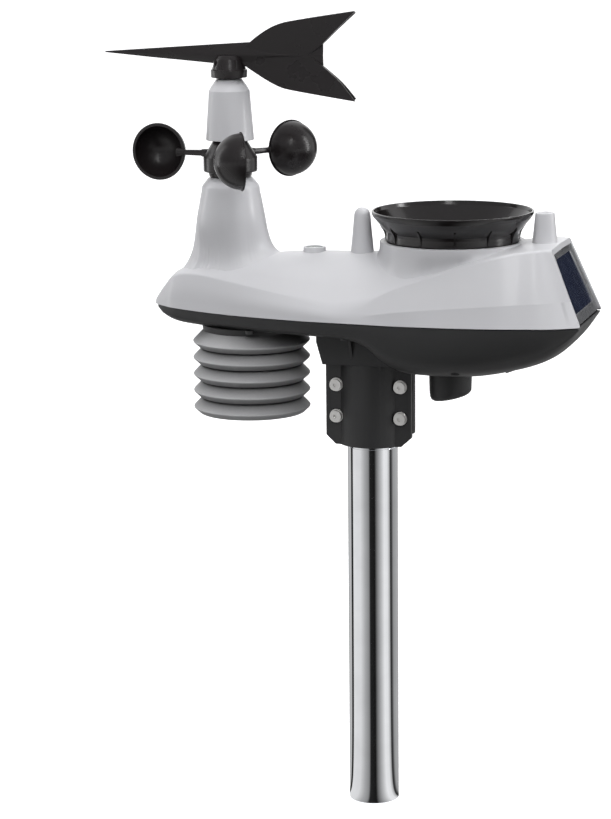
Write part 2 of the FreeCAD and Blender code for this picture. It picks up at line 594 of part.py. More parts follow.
def shield():
    for step in range(5):
        tip = "(shield_first - shield_pitch * %d)" % step
        inner = 0 if step == 4 else "shield_bore"
        corners = [(inner, tip + " + 7.6"), ("shield_valley", tip + " + 7.6"), ("shield_tip - 0.5", tip + " + 1"),
                   ("shield_tip", tip), ("shield_tip - 0.6", tip + " - 0.9"), ("shield_tip - 4.6", tip + " - 4.4"),
                   ("shield_tip - 6", tip + " - 4"), ("shield_tip - 2.4", tip + " + 0.1"),
                   ("shield_valley - 1", tip + " + 5.4"), (inner, tip + " + 5.4")]
        plate = turned("shield_plate_%d" % (step + 1), corners, "shield_x")
        holes = [rod("shield_hole_%d_%d" % (step, turn), 1.7, tip + " - 2", tip + " + 9", *spacer_place(turn))
                 for turn in range(3)]
        keep(cut("shield_drilled_%d" % step, plate, joined("shield_holes_%d" % step, holes)),
             "shield_plate_%d" % (step + 1))
    screws = []
    spacers = []
    for turn in range(3):
        x, y = spacer_place(turn)
        low = "shield_first - shield_pitch * 4 + 5.4"
        shank = rod("shield_shank_%d" % turn, 1.5, low, 378.6, x, y)
        head = rod("shield_head_%d" % turn, 3, low + " - 1.8", low, x, y)
        screws.append(joined("shield_screw_%d" % turn, [shank, head]))
        for step in range(4):
            gap_low = "shield_first - shield_pitch * %d + 7.6" % (step + 1)
            tube = rod("spacer_%d_%d" % (turn, step), 3.4, gap_low, gap_low + " + shield_pitch - plate_thick", x, y)
            eye = rod("spacer_eye_%d_%d" % (turn, step), 1.6, gap_low + " - 1", gap_low + " + shield_pitch", x, y)
            spacers.append(cut("spacer_ring_%d_%d" % (turn, step), tube, eye))
    keep(group("shield_screw_set", screws), "shield_screws")
    keep(group("shield_spacer_set", spacers), "shield_spacers")
    keep(block("sensor_board", ("shield_x - 8", "shield_x + 8"), (-0.8, 0.8), (332, 376)), "humidity_sensor_board")


def spacer_place(turn):
    angle = 90 + 120 * turn
    return "shield_x + shield_screw_orbit * cos(%d)" % angle, "shield_screw_orbit * sin(%d)" % angle


def funnel():
    rim = size("funnel_rim")
    neck = size("funnel_neck")
    step_z = size("funnel_step_z")
    low = size("spout_low")
    bowl = lathe([(size("spout_radius"), low), (size("spout_radius") + 2, low), (size("spout_radius") + 2, 450.2),
                  (neck - 2.4, 453.6), (neck - 2.4, 451.5), (neck, 451.5), (neck, step_z), (neck + 0.5, step_z + 1),
                  (rim, size("funnel_rim_z") - 3), (rim, size("funnel_rim_z")), (rim - 2, size("funnel_rim_z")),
                  (rim - 2.6, size("funnel_rim_z") - 2.6), (neck - 2.6, step_z), (size("spout_radius"), 453)],
                 size("rain_x"))
    ribs = []
    for turn in range(12):
        rib = Part.makePolygon([Vector(neck - 0.5, -0.8, 459.5), Vector(neck - 0.5, -0.8, 467.5),
                                Vector(neck + 4.6, -0.8, 469.5), Vector(neck - 0.5, -0.8, 459.5)])
        solid = Part.Face(rib).extrude(Vector(0, 1.6, 0))
        solid.rotate(Vector(0, 0, 0), Vector(0, 0, 1), 15 + 30 * turn)
        solid.translate(Vector(size("rain_x"), 0, 0))
        ribs.append(solid)
    keep(solid_piece("rain_funnel", bowl.fuse(ribs)), "rain_funnel")


def tipper_shape():
    """Two open scoops back to back on a pivot tube, drawn level with the pivot at the origin."""
    outline = Part.makePolygon([Vector(-29, -10, 3), Vector(29, -10, 3), Vector(29, -10, 7.5), Vector(3, -10, 20),
                                Vector(-3, -10, 20), Vector(-29, -10, 7.5), Vector(-29, -10, 3)])
    solid = Part.Face(outline).extrude(Vector(0, 20, 0))
    for side in (-1, 1):
        scoop = Part.makePolygon([Vector(side * 0.7, -8.8, 4.2), Vector(side * 31, -8.8, 4.2),
                                  Vector(side * 31, -8.8, 22), Vector(side * 0.7, -8.8, 22),
                                  Vector(side * 0.7, -8.8, 4.2)])
        solid = solid.cut(Part.Face(scoop).extrude(Vector(0, 17.6, 0)))
    tube = Part.makeCylinder(3.2, 20, Vector(0, -10, 0), Vector(0, 1, 0))
    bore = Part.makeCylinder(1.55, 40, Vector(0, -20, 0), Vector(0, 1, 0))
    pocket = Part.makeCylinder(1.52, 3, Vector(0, 8.8, 12), Vector(0, 1, 0))
    return solid.fuse(tube).cut([bore, pocket])


def rain_gauge():
    pivot = Vector(size("rain_x"), 0, size("pivot_z"))
    tilted = FreeCAD.Placement(pivot, FreeCAD.Rotation(Vector(0, 1, 0), size("tipper_tilt")))
    keep(solid_piece("tipping_bucket", tipper_shape(), tilted), "tipping_bucket")
    magnet = Part.makeCylinder(1.5, 1.2, Vector(0, 8.8, 12), Vector(0, 1, 0))
    keep(solid_piece("bucket_magnet", magnet, tilted), "bucket_magnet")
    keep(crosswise("bucket_pin_rod", 1.5, -16, 16, "rain_x", "pivot_z"), "bucket_pivot_pin")
    parts = [block("bracket_floor", ("rain_x - 25", "rain_x + 25"), (-16, 16), (376, 378))]
    for side in (-1, 1):
        near = 11 if side > 0 else -14
        parts.append(block("bracket_cheek_%d" % (side + 1), ("rain_x - 6", "rain_x + 6"), (near, near + 3),
                           (376, "pivot_z + 5")))
        parts.append(rod("bracket_stop_%d" % (side + 1), 2, 376, "pivot_z - 2.6", "rain_x + %d" % (side * 22)))
        parts.append(rod("bracket_leg_%d" % (side + 1), 3, 360, 377, "rain_x + %d" % (side * 21)))
    bore = crosswise("bracket_bore", 1.52, -20, 20, "rain_x", "pivot_z")
    keep(cut("bracket_drilled", joined("bracket_solid", parts), bore), "bucket_bracket")
    keep(block("reed_board", ("rain_x - 12", "rain_x + 12"), (16.4, 18), (392, 424)), "rain_reed_board")
    cup = lathe([(10.5, 330), (17, 330), (17, 357.4), (13.8, 357.4), (13.8, 361), (10.5, 361)], size("drain_x"))
    slant = Part.makeBox(60, 60, 20, Vector(-30, -30, -20))
    slant.Placement = FreeCAD.Placement(Vector(size("drain_x"), 0, 337.5), FreeCAD.Rotation(Vector(0, 1, 0), -20))
    hull = belly_loft(0)
    outside = column(size("drain_radius"), 330, 358, size("drain_x")).cut(column(13.8, 320, 362, size("drain_x")))
    inside_hull = hull.common(outside)
    keep(solid_piece("drain_cup", cup.cut([slant, inside_hull])), "drain_cup")


def electronics():
    board = block("board_slab", (-60, 22), (-40, 40), (404, 405.6))
    parts = [board, block("board_chip", (-30, -14), (-8, 8), (405.6, 408)),
             block("board_radio", (-10, 6), (-26, -8), (405.6, 408.4))]
    eye = rod("board_eye", 2.4, 400, 410, "aerial_x")
    keep(cut("board_cut", joined("board_solid", parts), eye), "main_circuit_board")
    keep(rod("aerial_rod", 2.2, 400, 476, "aerial_x"), "antenna")
    disc = rod("light_disc", 4.55, 479.5, 481.2, "light_x")
    keep(disc, "light_sensor_lens")
    keep(rod("light_board_disc", 4.5, 472, 473.6, "light_x"), "light_sensor_board")
    cells = [crosswise("cell_%d" % step, 7.1, -25, 25, x, 392) for step, x in enumerate((117.5, 133.5))]
    keep(group("cell_set", cells), "batteries")
    tray = cut("tray_cut", block("tray_block", (108, 143), (-29, 29), (381, 393)),
               joined("tray_voids", [crosswise("tray_void_%d" % step, 7.4, -26.4, 26.4, x, 392)
                                     for step, x in enumerate((117.5, 133.5))]))
    keep(tray, "battery_holder")
    contacts = [crosswise("contact_%d_%d" % (step, side + 1), 5, side * 25.5 - 0.3, side * 25.5 + 0.3, x, 392)
                for step, x in enumerate((117.5, 133.5)) for side in (-1, 1)]
    keep(group("contact_set", contacts), "battery_contacts")
    door = Part.makeBox(35.4, 43.4, 2.2, Vector(0.3, -21.7, 0.2))
    holes = [Part.makeCylinder(1.2, 12, Vector(x, 0, -4), Vector(0, 0, 1)) for x in (3.6, 32.4)]
    keep(solid_piece("battery_door", door.cut(holes), door_placement()), "battery_door")
    screws = [Part.makeCylinder(1.1, 3.4, Vector(x, 0, 0.2)).fuse(Part.makeCylinder(2.4, 1.2, Vector(x, 0, -1)))
              for x in (3.6, 32.4)]
    keep(solid_piece("battery_door_screws", Part.makeCompound(screws), door_placement()), "battery_door_screws")
    keep(joined("button_solid", [rod("button_cap", 2.9, 384, 390, -38, 34), rod("button_collar", 4.6, 390, 391.2,
                                                                               -38, 34)]), "reset_button")
    keep(rod("lamp_rod", 1.5, 384.8, 391, -46, 38), "status_led")


def solar():
    slope = math.hypot(size("panel_x") - size("panel_top_x"), size("panel_high") - size("panel_low"))
    low = size("panel_half_low")
    high = size("panel_half_high")
    edge = size("bezel_width")
    sill = 1.8

    def panel(inset, thick, sunk):
        corners = [Vector(-low + inset * 1.3, inset + sill, 0), Vector(low - inset * 1.3, inset + sill, 0),
                   Vector(high - inset, slope - inset, 0), Vector(-high + inset, slope - inset, 0)]
        plate = Part.Face(Part.makePolygon(corners + corners[:1])).extrude(Vector(0, 0, thick))
        plate.translate(Vector(0, 0, sunk))
        return plate

    thick = size("bezel_thick")
    frame = panel(0, thick, 0).cut(panel(edge, thick + 2, -1))
    keep(solid_piece("solar_bezel", frame, panel_placement(thick)), "solar_bezel")
    cell = panel(edge + 0.05, thick - size("cell_recess"), 0)
    keep(solid_piece("solar_cell", cell, panel_placement(thick)), "solar_cell")


def level():
    keep(turned("bubble_ring", [("level_radius - 2", 446), ("level_radius", 446), ("level_radius", "level_top"),
                                ("level_radius - 2", "level_top")], "level_x"), "bubble_ring")
    keep(rod("bubble_vial_disc", "level_radius - 2.02", 446, "level_top - 0.6", "level_x"), "bubble_vial")


def check_and_write():
    document.recompute()
    for item in document.Objects:
        if "Invalid" in item.State or "Error" in item.State:
            raise RuntimeError("failed object: %s %s" % (item.Name, item.State))
    os.makedirs("parts", exist_ok=True)
    for piece in pieces:
        if piece.Shape.isNull() or not piece.Shape.isValid() or not piece.Shape.Solids:
            raise RuntimeError("bad shape: " + piece.Label)
    for piece in pieces:
        piece.Shape.exportStep("parts/%s.step" % piece.Label)
        print("%s: %d solids, %.0f mm3" % (piece.Label, len(piece.Shape.Solids), piece.Shape.Volume))


fill_sheet()
mast()
clamp()
top_shell()
bottom_shell()
seam_parts()
tower()
rotor()
vane()
shield()
funnel()
rain_gauge()
electronics()
solar()
level()
check_and_write()
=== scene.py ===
import json
import math

import bmesh
import bpy
from mathutils import Matrix, Vector
from mathutils.bvhtree import BVHTree


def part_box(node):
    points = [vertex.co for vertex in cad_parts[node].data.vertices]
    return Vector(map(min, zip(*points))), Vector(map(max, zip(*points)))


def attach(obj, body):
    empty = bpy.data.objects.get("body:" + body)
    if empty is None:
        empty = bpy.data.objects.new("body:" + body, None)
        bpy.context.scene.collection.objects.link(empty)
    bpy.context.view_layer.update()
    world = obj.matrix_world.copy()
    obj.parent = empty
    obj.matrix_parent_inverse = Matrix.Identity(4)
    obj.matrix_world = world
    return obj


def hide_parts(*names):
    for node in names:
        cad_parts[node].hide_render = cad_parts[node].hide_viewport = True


# Outdoor weather sensor head on its mast: finished surfaces, materials, light and camera.
# Sizes in this script are millimetres until a mesh is made; MM turns them into metres.

MM = 0.001
VIEW_AZIMUTH = math.radians(16.6426)

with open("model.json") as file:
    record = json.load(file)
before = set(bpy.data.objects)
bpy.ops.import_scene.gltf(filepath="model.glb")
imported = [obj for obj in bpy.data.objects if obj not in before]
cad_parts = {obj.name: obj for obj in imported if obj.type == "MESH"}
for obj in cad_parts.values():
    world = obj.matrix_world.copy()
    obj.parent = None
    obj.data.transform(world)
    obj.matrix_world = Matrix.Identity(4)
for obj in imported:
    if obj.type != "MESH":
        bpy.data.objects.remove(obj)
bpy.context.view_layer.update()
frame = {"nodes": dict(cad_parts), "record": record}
nodes = frame["nodes"]


def middle(node):
    low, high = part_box(node)
    return (low + high) / (2 * MM)


def low_high(node, axis):
    low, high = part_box(node)
    return low[axis] / MM, high[axis] / MM


TOWER_X = middle("tower_spindle").x
SHIELD_X = middle("shield_plate_1").x
RAIN_X = middle("rain_funnel").x
AERIAL_X = middle("antenna").x
LIGHT_X = middle("light_sensor_lens").x
DRAIN_X = middle("drain_cup").x
SEAM = sum(low_high("case_seal", 2)) / 2
FUNNEL_TOP = low_high("rain_funnel", 2)[1]
PANEL_LOW = (172.7, 400.8)
PANEL_HIGH = (149.0, 456.9)
PANEL_LEAN = (PANEL_LOW[0] - PANEL_HIGH[0]) / (PANEL_HIGH[1] - PANEL_LOW[1])
BEZEL = 3.0
LIP = 1.3
WALL = 2.0
CUP_FIRST = 26.6
CUP_Z = 522.3

# Roof cross-sections, nose to solar end: X, then (half-width, height) of the seam, the lower crease,
# the upper crease, the roof flank and the crown.
ROOF = [
    (-176.5, (4.6, 401), (4.4, 402.4), (3.6, 404.4), (1.8, 405.2), 405.4),
    (-172, (9.4, 401), (9.0, 404.8), (7.4, 409.8), (3.8, 411.2), 411.6),
    (-166, (14.6, 401), (14.1, 408), (11.8, 416.6), (6.3, 418.4), 418.8),
    (-157, (21.6, 401), (21, 413), (17.3, 425.2), (9, 427.4), 428),
    (-135, (32.7, 401), (32, 415), (28, 428.6), (15, 433.5), 435),
    (-107, (44, 401), (43.4, 413.5), (39, 426), (22, 437), 440.3),
    (-73, (53.3, 401), (52.6, 411), (47.6, 421), (28, 439), 445),
    (-40, (59.8, 401), (59.2, 408.5), (54.6, 416.4), (32, 439), 447.4),
    (-15, (63, 401), (62.3, 406.5), (58.5, 412.8), (34, 438), 448.3),
    (8, (65.7, 401), (64.4, 407.2), (60.6, 416), (35, 439), 449),
    (35, (67.3, 401), (66.2, 411), (59.4, 427.5), (33, 444), 450),
    (61, (67.8, 401), (65.6, 413.8), (57.4, 437), (30, 447.5), 452),
    (87, (66.6, 401), (64, 416), (54, 445.8), (27, 452), 454),
    (111, (64, 401), (60.5, 417.7), (49, 452.2), (24, 455.5), 456.3),
    (131, (60.2, 401), (55.5, 418.8), (43, 455.7), (21, 457), 457.4),
    (155, (55.2, 401), (50.4, 419.6), (39.6, 456.7), (19.5, 457.2), 457.5),
    (172.7, (45.5, 401), (42.4, 420.2), (36.3, 456.9), (18, 457.3), 457.5),
]

# Belly cross-sections: X, half-width at the seam, lowest height.
BELLY = [
    (-177, 3.6, 397.6), (-171, 10.2, 393), (-157, 21.5, 388.5), (-135, 32.7, 386.8), (-107, 44, 386),
    (-73, 53.3, 385.2), (-35, 60.3, 384.6), (-8, 64.2, 383.5), (8, 65.8, 377.5), (21, 66.7, 365.5),
    (34, 67.2, 358), (50, 67.8, 356), (75, 67.6, 356), (96, 65.8, 357.4), (118, 62.8, 361.8),
    (137, 59.3, 367.4), (150, 55.8, 373.6), (160, 51.6, 381.5), (168, 48, 390.5), (172.7, 45.5, 398.6),
]


# ---------------------------------------------------------------- materials

def node_tree(name):
    material = bpy.data.materials.new(name)
    material.use_nodes = True
    tree = material.node_tree
    tree.nodes.clear()
    output = tree.nodes.new("ShaderNodeOutputMaterial")
    shader = tree.nodes.new("ShaderNodeBsdfPrincipled")
    tree.links.new(shader.outputs[0], output.inputs[0])
    return material, tree, shader


def noise(tree, scale, detail=4.0, stretch=(1, 1, 1)):
    coords = tree.nodes.new("ShaderNodeTexCoord")
    mapping = tree.nodes.new("ShaderNodeMapping")
    mapping.inputs["Scale"].default_value = stretch
    texture = tree.nodes.new("ShaderNodeTexNoise")
    texture.inputs["Scale"].default_value = scale
    texture.inputs["Detail"].default_value = detail
    tree.links.new(coords.outputs["Object"], mapping.inputs["Vector"])
    tree.links.new(mapping.outputs["Vector"], texture.inputs["Vector"])
    return texture.outputs["Fac"]


def ranged(tree, value, low, high, start=0.3, end=0.7):
    remap = tree.nodes.new("ShaderNodeMapRange")
    remap.inputs["From Min"].default_value = start
    remap.inputs["From Max"].default_value = end
    remap.inputs["To Min"].default_value = low
    remap.inputs["To Max"].default_value = high
    tree.links.new(value, remap.inputs["Value"])
    return remap.outputs["Result"]


def mixed(tree, factor, first, second):
    mix = tree.nodes.new("ShaderNodeMix")
    mix.data_type = "RGBA"
    for socket, colour in (("A", first), ("B", second)):
        target = [item for item in mix.inputs if item.name == socket and item.type == "RGBA"][0]
        if isinstance(colour, tuple):
            target.default_value = (*colour, 1.0)
        else:
            tree.links.new(colour, target)
    tree.links.new(factor, mix.inputs["Factor"])
    return [item for item in mix.outputs if item.type == "RGBA"][0]


# Pointiness mask of sharp edges, used to paint highlights along them.
def painted_edge_mask(tree, amount):
    geometry = tree.nodes.new("ShaderNodeNewGeometry")
    return ranged(tree, geometry.outputs["Pointiness"], 0.0, amount, 0.515, 0.60)


def bumped(tree, shader, height, strength, distance_mm):
    bump = tree.nodes.new("ShaderNodeBump")
    bump.inputs["Strength"].default_value = strength
    bump.inputs["Distance"].default_value = distance_mm * MM
    tree.links.new(height, bump.inputs["Height"])
    tree.links.new(bump.outputs["Normal"], shader.inputs["Normal"])


def moulded(name, colour, spread=0.06, rough=(0.35, 0.45), grain=2600, bump=0.12, edge_highlight=0.25,
            coat=0.0, specular=0.5):
    """Moulded plastic: soft colour drift, fine grain, dust in patches and a painted highlight that makes
    sharp edges paler.
    """
    material, tree, shader = node_tree(name)
    dark = tuple(channel * (1 - spread) for channel in colour)
    pale = tuple(min(1.0, channel * (1 + spread)) for channel in colour)
    drift = mixed(tree, ranged(tree, noise(tree, 14, 3), 0, 1), dark, pale)
    speck = mixed(tree, ranged(tree, noise(tree, 900, 2), 0, 0.35, 0.45, 0.75), drift, pale)
    # Painted highlight: sharp edges are mixed towards a paler colour, standing in for light caught along
    # them.
    lit_edge = tuple(min(1.0, channel * 1.25 + 0.02) for channel in colour)
    tree.links.new(mixed(tree, painted_edge_mask(tree, edge_highlight), speck, lit_edge), shader.inputs["Base Color"])
    tree.links.new(ranged(tree, noise(tree, 40, 5), *rough), shader.inputs["Roughness"])
    shader.inputs["Coat Weight"].default_value = coat
    shader.inputs["Coat Roughness"].default_value = 0.12
    shader.inputs["Specular IOR Level"].default_value = specular
    bumped(tree, shader, noise(tree, grain, 2), bump, 0.05)
    return material


def with_painted_recess_shade(material, reach_mm, dark, start=0.25, end=0.95):
    """Darkens the recesses of a finished material with painted shade, found by ambient occlusion."""
    tree = material.node_tree
    shader = [node for node in tree.nodes if node.type == "BSDF_PRINCIPLED"][0]
    before = shader.inputs["Base Color"].links[0].from_socket
    # Ambient occlusion mask: the painted shade goes where nearby surfaces block the light.
    hidden = tree.nodes.new("ShaderNodeAmbientOcclusion")
    hidden.inputs["Distance"].default_value = reach_mm * MM
    hidden.samples = 8
    open_air = ranged(tree, hidden.outputs["AO"], 0, 1, start, end)
    tree.links.new(mixed(tree, open_air, dark, before), shader.inputs["Base Color"])
    return material


def metal(name, colour, rough, scratch=(1, 1, 30), bump=0.05):
    """Metal with a fine drawn grain and faint smears in its polish."""
    material, tree, shader = node_tree(name)
    dark = tuple(channel * 0.9 for channel in colour)
    smear = ranged(tree, noise(tree, 30, 5), 0, 1)
    tree.links.new(mixed(tree, smear, dark, colour), shader.inputs["Base Color"])
    shader.inputs["Metallic"].default_value = 1.0
    tree.links.new(ranged(tree, noise(tree, 60, 6), *rough), shader.inputs["Roughness"])
    bumped(tree, shader, noise(tree, 500, 3, scratch), bump, 0.02)
    return material


def board(name):
    material, tree, shader = node_tree(name)
    voronoi = tree.nodes.new("ShaderNodeTexVoronoi")
    voronoi.inputs["Scale"].default_value = 260
    coords = tree.nodes.new("ShaderNodeTexCoord")
    tree.links.new(coords.outputs["Object"], voronoi.inputs["Vector"])
    tracks = ranged(tree, voronoi.outputs["Distance"], 1, 0, 0.05, 0.25)
    tree.links.new(mixed(tree, tracks, (0.01, 0.09, 0.035), (0.05, 0.2, 0.08)), shader.inputs["Base Color"])
    tree.links.new(ranged(tree, noise(tree, 80), 0.3, 0.45), shader.inputs["Roughness"])
    bumped(tree, shader, voronoi.outputs["Distance"], 0.1, 0.05)
    return material


def solar(name):
    """Dark blue silicon: fine collector lines up the slope and broad cell gaps, under lacquer."""
    material, tree, shader = node_tree(name)
    coords = tree.nodes.new("ShaderNodeTexCoord")
    wave = tree.nodes.new("ShaderNodeTexWave")
    wave.bands_direction = "Y"
    wave.inputs["Scale"].default_value = 105
    wave.inputs["Distortion"].default_value = 0.0
    tree.links.new(coords.outputs["Object"], wave.inputs["Vector"])
    lines = ranged(tree, wave.outputs["Fac"], 0, 0.5, 0.93, 0.99)
    silicon = mixed(tree, ranged(tree, noise(tree, 120, 6), 0, 1),
                    (0.010, 0.013, 0.030), (0.020, 0.027, 0.055))
    tree.links.new(mixed(tree, lines, silicon, (0.06, 0.065, 0.08)), shader.inputs["Base Color"])
    tree.links.new(ranged(tree, noise(tree, 60), 0.16, 0.26), shader.inputs["Roughness"])
    shader.inputs["Coat Weight"].default_value = 0.25
    shader.inputs["Coat Roughness"].default_value = 0.08
    bumped(tree, shader, wave.outputs["Fac"], 0.04, 0.03)
    return material


def clear(name, colour, rough=0.08):
    material, tree, shader = node_tree(name)
    paler = tuple(min(1.0, channel * 1.1) for channel in colour)
    tint = mixed(tree, ranged(tree, noise(tree, 50), 0, 1), colour, paler)
    tree.links.new(tint, shader.inputs["Base Color"])
    shader.inputs["Transmission Weight"].default_value = 0.85
    shader.inputs["IOR"].default_value = 1.45
    tree.links.new(ranged(tree, noise(tree, 90), rough, rough + 0.08), shader.inputs["Roughness"])
    bumped(tree, shader, noise(tree, 400), 0.04, 0.02)
    return material


def cell_wrap(name):
    """Cell wrap: a dark sleeve with one plain copper-coloured band."""
    material, tree, shader = node_tree(name)
    coords = tree.nodes.new("ShaderNodeTexCoord")
    split = tree.nodes.new("ShaderNodeSeparateXYZ")
    tree.links.new(coords.outputs["Object"], split.inputs[0])
    band = ranged(tree, split.outputs["Y"], 0, 1, 0.0115, 0.0125)
    tree.links.new(mixed(tree, band, (0.03, 0.03, 0.035), (0.5, 0.26, 0.1)), shader.inputs["Base Color"])
    tree.links.new(ranged(tree, noise(tree, 60), 0.25, 0.35), shader.inputs["Roughness"])
    bumped(tree, shader, noise(tree, 900), 0.05, 0.02)
    return material


MATERIALS = {
    "mast_chrome": metal("polished_mast", (0.80, 0.81, 0.83), (0.035, 0.075), (1, 1, 0.05), 0.02),
    "clamp_black": moulded("clamp_black_finish", (0.017, 0.017, 0.0175), 0.15,
                           (0.40, 0.55), 1500, 0.3, 0.35, 0.0, 0.4),
    "stainless": metal("stainless_finish", (0.78, 0.77, 0.75), (0.28, 0.4), (1, 1, 1), 0.08),
    "silver_plastic": moulded("silver_finish", (0.535, 0.535, 0.552), 0.02,
                           (0.33, 0.42), 3000, 0.08, 0.15, 0.15),
    "dark_plastic": moulded("dark_finish", (0.026, 0.026, 0.0265), 0.1,
                           (0.42, 0.52), 1800, 0.22, 0.3, 0.0, 0.3),
    "seal_rubber": moulded("seal_finish", (0.015, 0.015, 0.015), 0.2, (0.7, 0.85), 1200, 0.4, 0.1),
    "rotor_black": moulded("rotor_finish", (0.012, 0.0098, 0.0102), 0.12,
                           (0.24, 0.36), 2200, 0.1, 0.25, 0.0, 0.35),
    "funnel_black": moulded("funnel_finish", (0.009, 0.0075, 0.0075), 0.12,
                           (0.14, 0.22), 2400, 0.05, 0.3, 0.15, 0.4),
    # The louvres get painted shade in their recesses, darker where ambient occlusion finds nearby surfaces.
    "shield_grey": with_painted_recess_shade(moulded("shield_finish", (0.42, 0.42, 0.425), 0.05, (0.5, 0.62), 1800, 0.15, 0.25),
                         18, (0.03, 0.03, 0.03), 0.3, 1.0),
    "inner_plastic": moulded("inner_finish", (0.05, 0.05, 0.055), 0.1, (0.45, 0.55), 1500, 0.2, 0.3),
    "board_green": board("board_finish"),
    "magnet_metal": metal("nickel_finish", (0.6, 0.59, 0.57), (0.2, 0.3)),
    "aerial_brass": metal("brass_finish", (0.7, 0.5, 0.2), (0.2, 0.32)),
    "cell_wrap": cell_wrap("cell_finish"),
    "bezel_grey": moulded("bezel_finish", (0.105, 0.107, 0.112), 0.05, (0.22, 0.3), 3000, 0.06, 0.5, 0.2),
    "solar_blue": solar("solar_finish"),
    "sensor_lens": clear("lens_finish", (0.82, 0.84, 0.86), 0.2),
    "level_ring": moulded("level_ring_finish", (0.545, 0.545, 0.56), 0.03, (0.3, 0.38), 3000, 0.06, 0.3),
    "level_liquid": clear("vial_finish", (0.72, 0.78, 0.74)),
}


# ---------------------------------------------------------------- mesh helpers

def make_object(name, verts, faces, smooth=True):
    mesh = bpy.data.meshes.new(name)
    mesh.from_pydata([Vector(vert) * MM for vert in verts], [], faces)
    mesh.validate()
    item = bpy.data.objects.new(name, mesh)
    bpy.context.scene.collection.objects.link(item)
    tidy(item)
    for polygon in mesh.polygons:
        polygon.use_smooth = smooth
    return item


def tidy(item, merge=1e-6):
    edit = bmesh.new()
    edit.from_mesh(item.data)
    bmesh.ops.remove_doubles(edit, verts=edit.verts, dist=merge)
    bmesh.ops.dissolve_degenerate(edit, edges=edit.edges, dist=1e-7)
    bmesh.ops.recalc_face_normals(edit, faces=edit.faces)
    edit.to_mesh(item.data)
    edit.free()


def baked(item):
    """Applies the piece's modifiers to its mesh."""
    graph = bpy.context.evaluated_depsgraph_get()
    mesh = bpy.data.meshes.new_from_object(item.evaluated_get(graph))
    item.modifiers.clear()
    item.data = mesh
    return item


def joined(name, items):
    edit = bmesh.new()
    for item in items:
        edit.from_mesh(item.data)
        bpy.data.objects.remove(item)
    mesh = bpy.data.meshes.new(name)
    edit.to_mesh(mesh)
    edit.free()
    result = bpy.data.objects.new(name, mesh)
    bpy.context.scene.collection.objects.link(result)
    for polygon in mesh.polygons:
        polygon.use_smooth = True
    return result


def sharpen(item, angle=32, bevel=0.35, segments=3):
    """Small rounded edges, so that corners catch the light."""
    modifier = item.modifiers.new("edge_rounding", "BEVEL")
    modifier.width = bevel * MM
    modifier.segments = segments
    modifier.limit_method = "ANGLE"
    modifier.angle_limit = math.radians(angle)
    modifier.harden_normals = False
    smooth_by_angle(item)


def smooth_by_angle(item, angle=38):
    item.data.set_sharp_from_angle(angle=math.radians(angle))
    for polygon in item.data.polygons:
        polygon.use_smooth = True


def rounded(corners):
    """Outline points from (across, up, corner radius) entries: each corner becomes an arc."""
    points = []
    count = len(corners)
    for index, (across, up, radius) in enumerate(corners):
        here = Vector((across, up))
        if radius <= 0:
            points.append(here)
            continue
        back = Vector(corners[index - 1][:2]) - here
        ahead = Vector(corners[(index + 1) % count][:2]) - here
        turn = back.angle(ahead)
        reach = min(radius / math.tan(turn / 2), 0.49 * back.length, 0.49 * ahead.length)
        start = here + back.normalized() * reach
        end = here + ahead.normalized() * reach
        for step in range(7):
            t = step / 6
            points.append(start * (1 - t) ** 2 + here * 2 * t * (1 - t) + end * t ** 2)
    return points


def lathe(name, corners, x, y=0.0, segments=128):
    """Closed ring turned about a vertical axis from an outline of (radius, height, corner radius)."""
    outline = rounded(corners)
    verts = []
    for step in range(segments):
        angle = 2 * math.pi * step / segments
        for point in outline:
            radius = max(point.x, 0.0)
            verts.append((x + radius * math.cos(angle), y + radius * math.sin(angle), point.y))
    count = len(outline)
    faces = []
    for step in range(segments):
        ahead = (step + 1) % segments
        for index in range(count):
            beside = (index + 1) % count
            faces.append((step * count + index, ahead * count + index, ahead * count + beside,
                          step * count + beside))
    item = make_object(name, verts, faces)
    smooth_by_angle(item)
    return item


def surface_under(item):
    graph = bpy.context.evaluated_depsgraph_get()
    tree = BVHTree.FromObject(item.evaluated_get(graph), graph)

    def height(x, y, fallback):
        hit = tree.ray_cast(Vector((x, y, 700)) * MM, Vector((0, 0, -1)))[0]
        return hit.z / MM if hit else fallback
    return height


def settled(x, wanted, least, height, segments, drop):
    """Foot radius at each angle: pulled in from the wanted one until the roof under it is gentle, then
    evened out between neighbours."""
    reaches = []
    for step in range(segments):
        angle = 2 * math.pi * step / segments
        cos, sin = math.cos(angle), math.sin(angle)
        reach = wanted(angle)
        while reach > least:
            here = height(x + (reach + 1) * cos, (reach + 1) * sin, 0)
            if here > max(SEAM, height(x + (reach - 2) * cos, (reach - 2) * sin, 0) - drop):
                break
            reach -= 0.25
        reaches.append(reach)
    for _ in range(6):
        near = [[reaches[(step + offset) % segments] for offset in (-2, -1, 0, 1, 2)]
                for step in range(segments)]
        reaches = [min(reach, sum(beside) / 5 + 0.1) for reach, beside in zip(reaches, near)]
    return reaches


